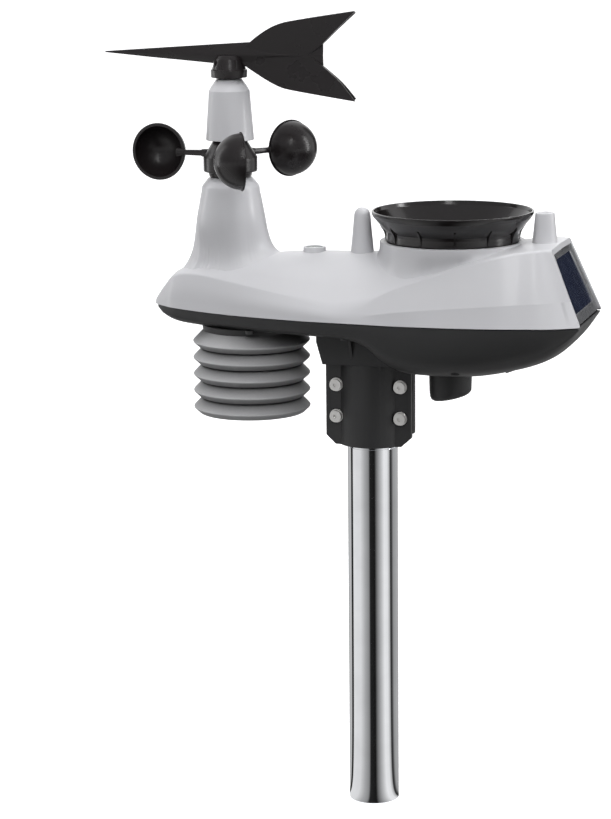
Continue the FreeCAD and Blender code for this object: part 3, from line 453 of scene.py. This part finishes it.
def grown_from(name, x, wall, foot_radius, height, thick=1.8, segments=160, pull=0.45, drop=2.4):
    """A hollow round feature whose foot flows into the roof: wall is (radius, height) from its top down."""
    last_r, last_z = wall[-1]
    reaches = settled(x, foot_radius, last_r + 0.6, height, segments, drop)
    before_r, before_z = wall[-2]
    downward = Vector((last_r - before_r, last_z - before_z)).normalized()
    verts = []
    rings = 0
    for step in range(segments):
        angle = 2 * math.pi * step / segments
        cos, sin = math.cos(angle), math.sin(angle)
        reach = reaches[step]
        foot_z = height(x + reach * cos, reach * sin, SEAM + 12)
        beyond = height(x + (reach + 0.8) * cos, (reach + 0.8) * sin, foot_z - 0.8)
        within = height(x + (reach - 0.8) * cos, (reach - 0.8) * sin, foot_z)
        outward = Vector((1.6, beyond - within)).normalized()
        start = Vector((last_r, last_z))
        end = Vector((reach, foot_z - 0.02))
        span = (end - start).length * pull
        first, second = start + downward * span, end - outward * span
        outline = [Vector(point) for point in wall]
        for part in range(1, 15):
            t = part / 14
            outline.append(start * (1 - t) ** 3 + first * 3 * t * (1 - t) ** 2 + second * 3 * t * t * (1 - t)
                           + end * t ** 3)
        inner = [Vector((max(point.x - thick, 0.05), point.y - 0.35 * thick)) for point in reversed(outline)]
        outline += inner
        rings = len(outline)
        verts += [(x + point.x * cos, point.x * sin, point.y) for point in outline]
    faces = []
    for step in range(segments):
        ahead = (step + 1) % segments
        for index in range(rings):
            beside = (index + 1) % rings
            faces.append((step * rings + index, ahead * rings + index, ahead * rings + beside,
                          step * rings + beside))
    item = make_object(name, verts, faces)
    smooth_by_angle(item, 50)
    return item


def finish_piece(item, body, slot, *replaced):
    item.data.materials.clear()
    item.data.materials.append(MATERIALS[slot])
    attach(item, body)
    if replaced:
        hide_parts(*replaced)
    return item


# ---------------------------------------------------------------- housing

def shear(x, height):
    """Leans the last sections onto the solar end's slope."""
    blend = min(1.0, max(0.0, (x - 131) / (172.7 - 131)))
    blend = blend * blend * (3 - 2 * blend)
    return x - blend * ((height - PANEL_LOW[1]) * PANEL_LEAN + 0.25)


def along(table, x):
    """The table's row at x, by a smooth curve through its entries."""
    places = [row[0] for row in table]
    last = len(table) - 1
    index = max(1, min(last, next((i for i, place in enumerate(places) if place > x), last)))
    rows = [table[max(0, min(last, index + offset))] for offset in (-2, -1, 0, 1)]
    span = rows[2][0] - rows[1][0]
    t = (x - rows[1][0]) / span
    flat = [[value for part in row[1:] for value in (part if isinstance(part, tuple) else (part,))]
            for row in rows]
    result = []
    for a, b, c, d in zip(*flat):
        before, after = rows[2][0] - rows[0][0], rows[3][0] - rows[1][0]
        start = (c - a) / before * span if before else c - b
        end = (d - b) / after * span if after else c - b
        result.append((2 * t ** 3 - 3 * t * t + 1) * b + (t ** 3 - 2 * t * t + t) * start
                      + (3 * t * t - 2 * t ** 3) * c + (t ** 3 - t * t) * end)
    return result


def smooth_step(value, start, end):
    t = min(1.0, max(0.0, (value - start) / (end - start)))
    return t * t * (3 - 2 * t)


def roof_ring(x):
    """Cross-section of the roof at x. The shoulder crease is sharp at the nose, fades, and comes back as the
    side facet's top edge; the facet's lower edge is a softer crease."""
    seam_y, seam_z, c_y, c_z, a_y, a_z, flank_y, flank_z, crown = along(ROOF, x)
    shoulder = 1.2 + 26 * smooth_step(x, -62, -16) * (1 - smooth_step(x, -2, 24))
    lower = 1.5 + 60 * (1 - smooth_step(x, -12, 22))
    soft = 400
    corners = [(-seam_y, SEAM + 0.2, 0), (-c_y, c_z, lower), (-a_y, a_z, shoulder), (-flank_y, flank_z, soft),
               (0, crown, soft), (flank_y, flank_z, soft), (a_y, a_z, shoulder), (c_y, c_z, lower),
               (seam_y, SEAM + 0.2, 0)]
    return [(shear(x, point.y), point.x, point.y) for point in rounded(corners)]


def lofted(name, rings, nose):
    """Skin over the rings, drawn to a point at the nose and closed flat at the tail."""
    count = len(rings[0])
    verts = [point for ring in rings for point in ring] + [nose]
    faces = [(near + row, near + row + 1, near + count + row + 1, near + count + row)
             for near in range(0, (len(rings) - 1) * count, count) for row in range(count - 1)]
    faces += [(row + 1, row, len(verts) - 1) for row in range(count - 1)]
    last = (len(rings) - 1) * count
    faces.append(tuple(range(last, last + count)))
    item = make_object(name, verts, faces)
    crown = max(item.data.polygons,
                key=lambda face: abs(face.center.z - SEAM * MM) - 10 * abs(face.center.y))
    outward = 1 if crown.center.z > SEAM * MM else -1
    if crown.normal.z * outward < 0:
        item.data.flip_normals()
    return item


def stations(table, step=2.6):
    low, high = table[0][0], table[-1][0]
    count = round((high - low) / step)
    return [low + (high - low) * index / count for index in range(count + 1)]


def solidified(item, thick):
    modifier = item.modifiers.new("wall", "SOLIDIFY")
    modifier.thickness = thick * MM
    modifier.offset = -1.0
    modifier.use_even_offset = False


def inset(ring, lip, back):
    """The end ring moved in by a lip's width and back along the housing."""
    middle_z = sum(PANEL_LOW[1:] + PANEL_HIGH[1:]) / 2
    result = []
    for x, y, z in ring:
        inward = Vector((0 - y, middle_z - z))
        inward = Vector((math.copysign(min(abs(inward.x), lip), inward.x),
                         math.copysign(min(abs(inward.y), lip), inward.y)))
        result.append((x - inward.y * PANEL_LEAN - back, y + inward.x, z + inward.y))
    return result


def roof_skin():
    rings = [roof_ring(x) for x in stations(ROOF)]
    rings += [inset(rings[-1], LIP, 0), inset(rings[-1], LIP + 0.1, BEZEL)]
    return lofted("housing_roof_skin", rings, (-178, 0, 402.4))


def cutter(name, radius, low, high, x, y=0.0):
    item = lathe(name, [(0, low, 0), (radius, low, 0), (radius, high, 0), (0, high, 0)], x, y, 64)
    tidy(item, 1e-5)
    return item


def subtract(item, tools):
    for tool in tools:
        modifier = item.modifiers.new("cut_" + tool.name, "BOOLEAN")
        modifier.operation = "DIFFERENCE"
        modifier.object = tool
        modifier.solver = "EXACT"
    baked(item)
    for tool in tools:
        bpy.data.objects.remove(tool)
    return item


def tower_foot_radius(angle):
    toward = math.cos(angle)
    return 38.0 + (9.0 if toward > 0 else 8.0) * abs(toward) ** 1.4


def housing_roof():
    skin = roof_skin()
    height = surface_under(skin)
    tower = grown_from("tower_foot", TOWER_X,
                       [(6.4, 503.9), (15.6, 503.9), (17.2, 503.6), (19.2, 501.4), (22, 498), (22.8, 496.4),
                        (23.1, 493), (24.0, 489), (24.9, 484), (26.2, 477.5)],
                       tower_foot_radius, height, 2.0, 160, 0.42)
    collar = grown_from("rain_collar", RAIN_X,
                        [(52.3, 458.2), (52.8, 458.9), (56.0, 458.9), (56.5, 458.5), (56.6, 457.8),
                         (56.6, 456)],
                        lambda angle: 63.0, height, 2.2, 220, 0.38)
    aerial = grown_from("aerial_post", AERIAL_X,
                        [(0.1, 482.6), (1.9, 482.4), (3.6, 481.7), (5.0, 480.4), (5.9, 478.7), (6.4, 476.6),
                         (7.3, 466), (8.3, 456), (8.7, 452.2)],
                        lambda angle: 11.6, height, 2.0, 96, 0.4)
    light = grown_from("light_post", LIGHT_X,
                       [(4.75, 479.4), (4.85, 481.9), (5.2, 482.4), (6.6, 482.4), (7.2, 482.0), (7.4, 481.2),
                        (8.4, 471), (9.2, 463), (9.5, 460)],
                       lambda angle: 11.2, height, 1.6, 96, 0.3, 4.5)
    solidified(skin, WALL)
    baked(skin)
    well = cutter("well_cut", 52.3, 440, 470, RAIN_X)
    subtract(skin, [well, cutter("spindle_cut", 12, 410, 520, TOWER_X)])
    floor = lathe("collar_floor", [(11, 447.6, 0.3), (53.5, 447.6, 0), (53.5, 449.4, 0), (11, 449.4, 0.3)],
                  RAIN_X)
    roof = joined("housing_roof", [skin, tower, collar, aerial, light, floor])
    smooth_by_angle(roof, 40)
    finish_piece(roof, "head", "silver_plastic", "top_shell")


BELLY_RINGS = [(1, 0.0), (0.99, 0.33), (0.95, 0.60), (0.80, 0.83), (0.55, 0.95), (0.25, 1.0)]


def belly_ring(x):
    half, low = along(BELLY, x)
    top = SEAM - 0.4
    deep = top - low
    left = [(-across * half, top - down * deep, 400 if down else 0) for across, down in BELLY_RINGS]
    right = [(-across, up, radius) for across, up, radius in reversed(left)]
    return [(x, point.x, point.y) for point in rounded(left + [(0, low, 400)] + right)]


def housing_belly():
    rings = [belly_ring(x) for x in stations(BELLY)]
    item = lofted("housing_belly", rings, (-178, 0, 399.4))
    solidified(item, WALL)
    baked(item)
    places = [(x, side * y) for x, y in ((79, 51), (-8, 51), (-88, 41)) for side in (-1, 1)]
    tools = [cutter("case_screw_cut_%d" % step, 3.4, 350, 389, x, y) for step, (x, y) in enumerate(places)]
    tools.append(cutter("vent_cut", 30, 370, 395, SHIELD_X))
    tools.append(cutter("drain_cut", 13.8, 340, 364, DRAIN_X))
    subtract(item, tools)
    wells = [lathe("case_screw_well_%d" % step,
                   [(1.6, 386, 0), (3.5, 386, 0), (3.5, 388.8, 0), (1.6, 388.8, 0)], x, y, 48)
             for step, (x, y) in enumerate(places)]
    neck = lathe("shield_neck", [(31, 378.9, 0.4), (37.6, 378.9, 0.8), (39.4, 388, 0), (31, 388, 0)],
                 SHIELD_X)
    item = joined("housing_belly_shell", [item, neck] + wells)
    smooth_by_angle(item, 40)
    finish_piece(item, "head", "dark_plastic", "bottom_shell")


def solar_bezel():
    """Dark frame set inside the housing's lip, with a bevelled window over the cell."""
    def outline(side, low, high, depth):
        half_low = 45.5 - LIP - side
        half_high = 36.3 - LIP - side
        points = rounded([(-half_low, PANEL_LOW[1] + low, 2.5), (half_low, PANEL_LOW[1] + low, 2.5),
                          (half_high, PANEL_HIGH[1] - high, 2.5), (-half_high, PANEL_HIGH[1] - high, 2.5)])
        return [(PANEL_LOW[0] - (point.y - PANEL_LOW[1]) * PANEL_LEAN - depth, point.x, point.y)
                for point in points]

    rings = [outline(0, 1.4, 1.3, 0.9), outline(0, 1.4, 1.3, 0.55), outline(0.4, 1.8, 1.7, 0.25),
             outline(7.2, 8.2, 6.4, 0.25), outline(7.9, 8.9, 7.1, 0.85), outline(7.9, 8.9, 7.1, 0.9)]
    count = len(rings[0])
    verts = [point for ring in rings for point in ring]
    faces = [(ring * count + index, ring * count + (index + 1) % count,
              (ring + 1) % len(rings) * count + (index + 1) % count, (ring + 1) % len(rings) * count + index)
             for ring in range(len(rings)) for index in range(count)]
    item = make_object("solar_frame", verts, faces)
    smooth_by_angle(item, 25)
    finish_piece(item, "head", "bezel_grey", "solar_bezel")


# ---------------------------------------------------------------- wind instruments

def upper_cone():
    low, high = low_high("upper_tower_cone", 2)
    item = lathe("tower_cone", [(6.3, low, 0.3), (19.05, low, 0.5), (16.1, 571.8, 0.9), (14.2, 575.2, 2.5),
                                (10.2, high - 0.4, 0.6), (8, high, 0.3), (4.4, high, 0.2), (4.4, 560, 0),
                                (6.3, 540, 0)],
                 TOWER_X)
    finish_piece(item, "head", "silver_plastic", "upper_tower_cone")


def rotor_hub():
    low, high = low_high("rotor_hub", 2)
    hub = lathe("hub_core", [(6.5, low, 0.2), (16.6, low, 0.4), (17.4, 507.8, 0.5), (20.9, 508.6, 0.5),
                             (21.3, 509.4, 0.4), (21.3, 519.6, 0.6), (20.2, 521.4, 0.8), (14.0, 531.6, 0.8),
                             (13.2, high, 0.3), (6.5, high, 0.3)], TOWER_X)
    lugs = []
    for step in range(3):
        outward = cup_axes(step)[0]
        lug = box_along("arm_lug_%d" % step, outward, 17.5, 23.6, 4.0, 3.4, 3.3, 3.0, CUP_Z)
        lugs.append(lug)
    rotor = joined("rotor_hub_shell", [hub] + lugs)
    smooth_by_angle(rotor)
    finish_piece(rotor, "rotor", "rotor_black", "rotor_hub")


def cup_axes(step):
    """The way a cup's arm points, and the way its mouth faces."""
    angle = math.radians(CUP_FIRST + 120 * step)
    outward = Vector((math.sin(angle), -math.cos(angle), 0))
    facing = Vector((math.cos(angle), math.sin(angle), 0))
    return outward, facing


def box_along(name, outward, start, end, half_start, half_end, tall_start, tall_end, z):
    """Tapered bar along outward, with rounded long edges."""
    side = Vector((-outward.y, outward.x, 0))
    centre = Vector((TOWER_X, 0, z))
    verts = []
    around = 20
    for reach, half, tall in ((start, half_start, tall_start), (end, half_end, tall_end)):
        for step in range(around):
            angle = 2 * math.pi * step / around
            across = math.copysign(abs(math.cos(angle)) ** 0.6, math.cos(angle))
            up = math.copysign(abs(math.sin(angle)) ** 0.6, math.sin(angle))
            verts.append(centre + outward * reach + side * half * across + Vector((0, 0, tall * up)))
    faces = [(step, (step + 1) % around, around + (step + 1) % around, around + step)
             for step in range(around)]
    faces += [tuple(range(around)), tuple(range(around, 2 * around))]
    return make_object(name, verts, faces)


def wind_cups():
    orbit = 61.4
    radius = 21.8
    for step in range(3):
        outward, facing = cup_axes(step)
        centre = Vector((TOWER_X, 0, CUP_Z)) + outward * orbit
        outline = []
        for part in range(25):
            angle = math.pi / 2 * part / 24
            outline.append((radius * math.sin(angle), -radius * math.cos(angle)))
        outline += [(radius + 0.75, -0.9), (radius + 0.9, -0.4), (radius + 0.75, 0.0), (radius - 0.6, 0.0)]
        for part in range(25):
            angle = math.pi / 2 * (24 - part) / 24
            outline.append(((radius - 1.5) * math.sin(angle), -(radius - 1.5) * math.cos(angle)))
        up = Vector((0, 0, 1))
        side = facing.cross(up)
        verts = []
        around = 96
        for turn in range(around):
            angle = 2 * math.pi * turn / around
            spoke = side * math.cos(angle) + up * math.sin(angle)
            verts += [centre + spoke * r + facing * depth for r, depth in outline]
        count = len(outline)
        faces = []
        for turn in range(around):
            ahead = (turn + 1) % around
            for index in range(count - 1):
                faces.append((turn * count + index, ahead * count + index, ahead * count + index + 1,
                              turn * count + index + 1))
        cup = make_object("cup_bowl_%d" % step, verts, faces)
        arm = box_along("cup_arm_%d" % step, outward, 15.0, orbit - 15.5, 2.4, 1.9, 2.6, 2.0, CUP_Z)
        web = box_along("cup_web_%d" % step, outward, orbit - 22.5, orbit - 16.5, 2.2, 3.6, 2.4, 3.6, CUP_Z)
        piece = joined("cup_%d" % (step + 1), [cup, arm, web])
        smooth_by_angle(piece, 40)
        finish_piece(piece, "rotor", "rotor_black", "wind_cup_%d" % (step + 1))


def curve_through(points, steps=8):
    """Catmull-Rom curve through 2-D points."""
    padded = [points[0]] + points + [points[-1]]
    result = []
    for index in range(1, len(padded) - 2):
        a, b, c, d = (Vector(padded[index + offset]) for offset in (-1, 0, 1, 2))
        for step in range(steps):
            t = step / steps
            result.append(0.5 * (2 * b + (c - a) * t + (2 * a - 5 * b + 4 * c - d) * t * t
                                 + (3 * b - a - 3 * c + d) * t ** 3))
    result.append(Vector(points[-1]))
    return result


def vane_fin(name, upper, side):
    ridge = 599.6
    if upper:
        outer = curve_through([(-97.2, 609.7), (-92.5, 613.4), (-86, 617.8), (-79, 621.6), (-72, 624.2),
                               (-64, 626), (-40, 629.8), (-11.3, 633.9)], 6)
        inner = curve_through([(-11.3, 633.9), (-26, 620.5), (-38.5, 608.6), (-46, 603), (-52, ridge)], 6)
        square = [Vector((-38.5, 608.6)), Vector((-38.5, ridge))]
    else:
        outer = curve_through([(-99.5, 590), (-93.8, 586.5), (-87, 582.4), (-80, 578.6), (-71, 574.7),
                               (-60, 572.4), (-36, 568.6), (-11.7, 564.9)], 6)
        inner = curve_through([(-11.7, 564.9), (-24, 579.5), (-38.5, 591.9), (-46, 597.4), (-52, ridge)], 6)
        square = [Vector((-38.5, 591.9)), Vector((-38.5, ridge))]
    if side > 0:
        inner = [point for point in inner if point.x > -38.4] + square
        outer = [Vector((point.x - 0.03 * (point.x + 112), point.y)) for point in outer]
        inner = [inner[0] - Vector((3.2, 0))] + inner[1:]
    outline = [Vector((-112, ridge))] + outer + inner[1:]
    thick = 1.1
    lean = math.radians(6) * side
    verts = []
    for sign in (-1, 1):
        for point in outline:
            y = sign * thick * math.cos(lean) + abs(point.y - ridge) * math.sin(lean)
            verts.append((point.x, y, point.y))
    count = len(outline)
    faces = [tuple(range(count)), tuple(range(count, 2 * count))]
    faces += [(i, (i + 1) % count, count + (i + 1) % count, count + i) for i in range(count)]
    return make_object(name, verts, faces, False)


def vane():
    fins = [vane_fin("fin_%s_%d" % (upper, side), upper, side) for upper in (True, False) for side in (-1, 1)]
    verts = []
    places = ((-218.1, 600.75, 601.2, 601.65, 0.35), (-180, 597.3, 600.7, 604.3, 2.4),
              (-150, 594.9, 600.3, 606.3, 3.9), (-129, 593.1, 600, 607.7, 4.8),
              (-112, 591.2, 599.8, 608.8, 4.6), (-97.2, 590.4, 599.6, 609.7, 3.2),
              (-80, 596.6, 599.6, 603.2, 2.2), (-54, 598.6, 599.6, 600.6, 1.3))
    for x, low, ridge, high, wide in places:
        verts += [(x, -0.5, low), (x, -wide, ridge - 0.25), (x, -wide, ridge + 0.25), (x, -0.5, high),
                  (x, 0.5, high), (x, wide, ridge + 0.25), (x, wide, ridge - 0.25), (x, 0.5, low)]
    faces = [tuple(range(8)), tuple(range(8 * len(places) - 8, 8 * len(places)))]
    for index in range(len(places) - 1):
        for corner in range(8):
            a = index * 8 + corner
            b = index * 8 + (corner + 1) % 8
            faces.append((a, b, b + 8, a + 8))
    spike = make_object("vane_spike", verts, faces, False)
    low = low_high("wind_vane", 2)[0]
    hub = lathe("vane_hub", [(3.2, 581.3, 0.2), (10.3, 581.3, 0.4), (10.6, 582.0, 0.3), (14.2, 582.2, 0.3),
                             (14.4, 588.0, 0.4), (13.4, 588.6, 0.4), (10.9, 596.4, 2.0), (8.5, 599.4, 1.0),
                             (3.2, 599.4, 0.3)], TOWER_X)
    ribs = []
    for turn in range(4):
        angle = math.pi / 4 + turn * math.pi / 2
        outward = Vector((math.cos(angle), math.sin(angle), 0))
        ribs.append(box_along("hub_rib_%d" % turn, outward, 6.0, 13.2, 0.8, 0.8, 6.0, 5.0, 590.6))
    piece = joined("wind_vane_shell", fins + [spike, hub] + ribs)
    sharpen(piece, 35, 0.25, 2)
    finish_piece(piece, "vane", "rotor_black", "wind_vane")


# ---------------------------------------------------------------- shield and rain gauge

def shield_plates():
    for step in range(5):
        name = "shield_plate_%d" % (step + 1)
        tip = low_high(name, 2)[1] - 7.6 + 3.4 - 0.4 * step
        upper = [(30, tip + 7.4, 0.3), (39.6, tip + 7.4, 0.4), (40.6, tip + 6.7, 0.5)]
        if step == 0:
            upper = [(30, tip + 12.5, 0.3), (35.4, tip + 12.5, 0.4), (35.9, tip + 11.4, 1.0)]
        corners = upper + [(46.2, tip + 0.9, 0.6), (46.7, tip + 0.1, 0.5), (46.3, tip - 0.7, 0.5),
                           (42.0, tip - 4.7, 0.5), (41.2, tip - 4.8, 0.4), (43.9, tip - 0.4, 0.8),
                           (38.4, tip + 5.0, 1.0), (30, tip + 5.0, 0.3)]
        if step == 4:
            corners = [(0.02, tip + 7.4, 0), *corners[1:7], (41.0, tip - 3.2, 0.5), (39.5, tip - 2.6, 0.4),
                       (0.02, tip - 2.6, 0)]
        item = lathe("louvre_%d" % (step + 1), corners, SHIELD_X, 0.0, 160)
        finish_piece(item, "head", "shield_grey", name)


def funnel():
    top = FUNNEL_TOP
    low = low_high("rain_funnel", 2)[0]
    corners = [(5.5, low, 0.2), (7.4, low, 0.3), (7.6, 450.4, 0.5), (49, 453.8, 0.4), (49.2, 451.6, 0.2),
               (51.4, 451.6, 0.3), (51.5, 464.6, 0.8), (52.0, 466.8, 1.2), (61.4, top - 4.6, 2.0),
               (62.7, top - 2.2, 0.8), (62.9, top - 0.4, 0.35), (62.3, top, 0.3), (61.2, top - 0.1, 0.3),
               (60.4, top - 3, 1.0), (50.4, 467.5, 1.5), (47.8, 461, 2.0), (5.6, 453.4, 1.2)]
    bowl = lathe("funnel_bowl", corners, RAIN_X, 0.0, 200)
    ribs = []
    for turn in range(12):
        angle = math.radians(15 + 30 * turn)
        outward = Vector((math.cos(angle), math.sin(angle), 0))
        side = Vector((-outward.y, outward.x, 0))
        centre = Vector((RAIN_X, 0, 0))
        sweep = curve_through([(52.2, 461.5), (53.3, 466), (56.6, 471.2)], 5)
        outline = [(51.2, 459.6), (51.9, 459.8)] + [tuple(point) for point in sweep]
        outline += [(52.0, 467.6), (51.2, 467)]
        verts = [centre + outward * r + side * offset + Vector((0, 0, z)) for offset in (-0.8, 0.8)
                 for r, z in outline]
        count = len(outline)
        faces = [tuple(range(count)), tuple(range(count, 2 * count))]
        faces += [(i, (i + 1) % count, count + (i + 1) % count, count + i) for i in range(count)]
        ribs.append(make_object("funnel_rib_%d" % turn, verts, faces, False))
    piece = joined("funnel", [bowl] + ribs)
    smooth_by_angle(piece, 35)
    finish_piece(piece, "funnel", "funnel_black", "rain_funnel")


def drain_cup():
    """Round outlet under the belly: nearly straight wall and a rounded, slanting foot."""
    rings = [(13.9, 361.0, 0), (13.9, 358.6, 0), (16.9, 358.4, 0), (16.95, 357.8, 0), (16.5, 341, 0),
             (16.4, 340, 0.35), (16.0, 337.6, 0.7), (14.8, 335.6, 0.9), (12.8, 334.4, 1),
             (10.9, 334.0, 1), (10.5, 334.6, 1),
             (10.5, 345, 0.2), (10.5, 361.0, 0)]
    verts = []
    around = 96
    for step in range(around):
        angle = 2 * math.pi * step / around
        for radius, z, follows in rings:
            verts.append((DRAIN_X + radius * math.cos(angle), radius * math.sin(angle),
                          z + follows * 0.20 * radius * (math.cos(angle) + 0.12)))
    count = len(rings)
    faces = [(step * count + index, (step + 1) % around * count + index,
              (step + 1) % around * count + (index + 1) % count, step * count + (index + 1) % count)
             for step in range(around) for index in range(count)]
    item = make_object("drain_outlet", verts, faces)
    smooth_by_angle(item, 45)
    finish_piece(item, "head", "dark_plastic", "drain_cup")


# ---------------------------------------------------------------- carried-over nodes

def dress_cad_nodes():
    slots = {entry["node"]: entry["material_slot"] for entry in frame["record"]["subparts"]}
    fine = {"mast_socket": 0.8, "mast_clamp": 0.8, "clamp_bolts": 0.5, "clamp_nuts": 0.3, "drain_cup": 1.2,
            "solar_bezel": 0.5, "bubble_ring": 0.4, "tipping_bucket": 0.3, "battery_holder": 0.5,
            "battery_door": 0.4, "reset_button": 0.3, "bucket_bracket": 0.4}
    for name, item in nodes.items():
        item.data.materials.clear()
        item.data.materials.append(MATERIALS[slots[name]])
        smooth_by_angle(item)
        if name in fine:
            sharpen(item, 32, fine[name], 3)


# ---------------------------------------------------------------- studio

def studio():
    """Soft sky that is darker from below, and a white floor that sweeps up behind the object."""
    world = bpy.data.worlds.new("studio_world")
    world.use_nodes = True
    tree = world.node_tree
    coords = tree.nodes.new("ShaderNodeTexCoord")
    split = tree.nodes.new("ShaderNodeSeparateXYZ")
    tree.links.new(coords.outputs["Generated"], split.inputs[0])
    level = ranged(tree, split.outputs["Z"], 0.10, 0.52, -0.35, 0.35)
    background = tree.nodes["Background"]
    background.inputs["Color"].default_value = (0.97, 0.975, 1.0, 1)
    tree.links.new(level, background.inputs["Strength"])
    bpy.context.scene.world = world
    half, back, rise, bend, steps = 16000, 2600, 5000, 700, 12
    outline = [(-half, 0), (back - bend, 0)]
    for step in range(1, steps + 1):
        angle = math.pi / 2 * step / steps
        outline.append((back - bend + bend * math.sin(angle), bend - bend * math.cos(angle)))
    outline.append((back, rise))
    verts = [(side, y, z) for side in (-half, half) for y, z in outline]
    count = len(outline)
    faces = [(i, i + 1, count + i + 1, count + i) for i in range(count - 1)]
    sweep = make_object("studio_sweep", verts, faces)
    material, _, shader = node_tree("studio_paper")
    shader.inputs["Base Color"].default_value = (0.85, 0.85, 0.85, 1)
    shader.inputs["Roughness"].default_value = 0.8
    shader.inputs["Emission Color"].default_value = (1.0, 1.0, 1.0, 1)
    shader.inputs["Emission Strength"].default_value = 0.75
    sweep.data.materials.append(material)
    sweep.visible_diffuse = False


def softbox(name, place, target, width, height, power, in_gloss):
    data = bpy.data.lights.new(name, "AREA")
    data.shape = "RECTANGLE"
    data.size = width
    data.size_y = height
    data.energy = power
    item = bpy.data.objects.new(name, data)
    item.visible_glossy = in_gloss
    bpy.context.scene.collection.objects.link(item)
    item.location = place
    item.rotation_euler = (Vector(target) - Vector(place)).to_track_quat("-Z", "Y").to_euler()
    return item


def lights():
    aim = (0, 0, 0.42)
    softbox("key_front", (-0.5, -2.3, 1.5), aim, 0.5, 1.2, 16, False)
    softbox("edge_right", (1.7, 0.3, 1.0), aim, 0.25, 1.6, 15, True)
    softbox("edge_left", (-1.7, 0.1, 0.9), aim, 0.25, 1.6, 5, True)
    softbox("top", (0.1, -0.1, 2.2), aim, 1.3, 1.0, 20, False)
    softbox("strip_a", (0.50, -1.45, 1.75), aim, 0.05, 1.3, 4, True)
    softbox("strip_b", (0.64, -1.45, 1.75), aim, 0.03, 1.3, 3, True)
    dark_card("card_rear", 160, 1.1)
    mirror_floor()


def dark_card(name, azimuth, width, reach=2.2, height=2.4):
    """Tall black card that only gloss sees, reflected by the solar cell.
    Azimuth is measured from -Y towards +X."""
    turn = math.radians(azimuth)
    outward = Vector((math.sin(turn), -math.cos(turn), 0)) * reach
    side = Vector((math.cos(turn), math.sin(turn), 0)) * width / 2
    corners = [outward - side, outward + side]
    corners += [corner + Vector((0, 0, height)) for corner in reversed(corners)]
    item = make_object(name, [corner / MM for corner in corners], [(0, 1, 2, 3)], False)
    material, _, shader = node_tree(name + "_cloth")
    shader.inputs["Base Color"].default_value = (0.004, 0.004, 0.004, 1)
    shader.inputs["Roughness"].default_value = 1.0
    shader.inputs["Specular IOR Level"].default_value = 0.0
    item.data.materials.append(material)
    item.visible_camera = False
    item.visible_shadow = False
    item.visible_diffuse = False


def mirror_floor():
    """A patterned cloth on the floor that only gloss sees: it draws the stripes on the polished mast.
    Each stop is degrees round the mast from the camera's side, and a brightness."""
    stops = ((-180, 0.42), (-124, 0.62), (-119, 0.01), (-108, 0.01), (-103, 0.92), (-62, 0.86), (-40, 0.5),
             (-22, 0.3), (-16, 0.02), (6, 0.01), (14, 0.18), (34, 0.6), (50, 1.0), (66, 0.95), (78, 0.5),
             (83, 0.03), (92, 0.06), (104, 0.38), (140, 0.5), (180, 0.42))
    item = make_object("mirror_floor", [(3000 * math.cos(turn), 3000 * math.sin(turn), 1.0)
                                        for turn in (math.pi / 24 * step for step in range(48))],
                       [tuple(range(48))], False)
    material = bpy.data.materials.new("mirror_cloth")
    material.use_nodes = True
    tree = material.node_tree
    tree.nodes.clear()
    coords = tree.nodes.new("ShaderNodeTexCoord")
    mapping = tree.nodes.new("ShaderNodeMapping")
    mapping.inputs["Rotation"].default_value = (0, 0, math.radians(90) - VIEW_AZIMUTH)
    radial = tree.nodes.new("ShaderNodeTexGradient")
    radial.gradient_type = "RADIAL"
    ramp = tree.nodes.new("ShaderNodeValToRGB")
    glow = tree.nodes.new("ShaderNodeEmission")
    output = tree.nodes.new("ShaderNodeOutputMaterial")
    elements = ramp.color_ramp.elements
    while len(elements) < len(stops):
        elements.new(0.5)
    for element, (degrees, bright) in zip(elements, stops):
        element.position = degrees / 360 + 0.5
        element.color = (bright, bright, bright, 1)
    tree.links.new(coords.outputs["Object"], mapping.inputs["Vector"])
    tree.links.new(mapping.outputs["Vector"], radial.inputs["Vector"])
    tree.links.new(radial.outputs["Fac"], ramp.inputs["Fac"])
    tree.links.new(ramp.outputs["Color"], glow.inputs["Color"])
    tree.links.new(glow.outputs[0], output.inputs[0])
    item.data.materials.append(material)
    item.visible_camera = False
    item.visible_shadow = False
    item.visible_diffuse = False


def camera():
    azimuth, pitch, roll = VIEW_AZIMUTH, math.radians(11.5362), math.radians(-0.5735)
    data = bpy.data.cameras.new("view_camera")
    data.sensor_width = 36
    data.lens = 114.885
    data.clip_end = 50
    item = bpy.data.objects.new("view_camera", data)
    bpy.context.scene.collection.objects.link(item)
    back = Vector((math.sin(azimuth) * math.cos(pitch), -math.cos(azimuth) * math.cos(pitch),
                   math.sin(pitch)))
    right = Vector((math.cos(azimuth), math.sin(azimuth), 0))
    up = back.cross(right)
    tilted_right = right * math.cos(roll) + up * math.sin(roll)
    tilted_up = up * math.cos(roll) - right * math.sin(roll)
    turn = Matrix((tilted_right, tilted_up, back)).transposed().to_4x4()
    item.matrix_world = Matrix.Translation((0.529615, -1.957062, 0.736114)) @ turn
    bpy.context.scene.camera = item
    bpy.context.scene.view_settings.view_transform = "Standard"


camera()
dress_cad_nodes()
housing_roof()
housing_belly()
solar_bezel()
upper_cone()
rotor_hub()
wind_cups()
vane()
shield_plates()
drain_cup()
funnel()
studio()
lights()
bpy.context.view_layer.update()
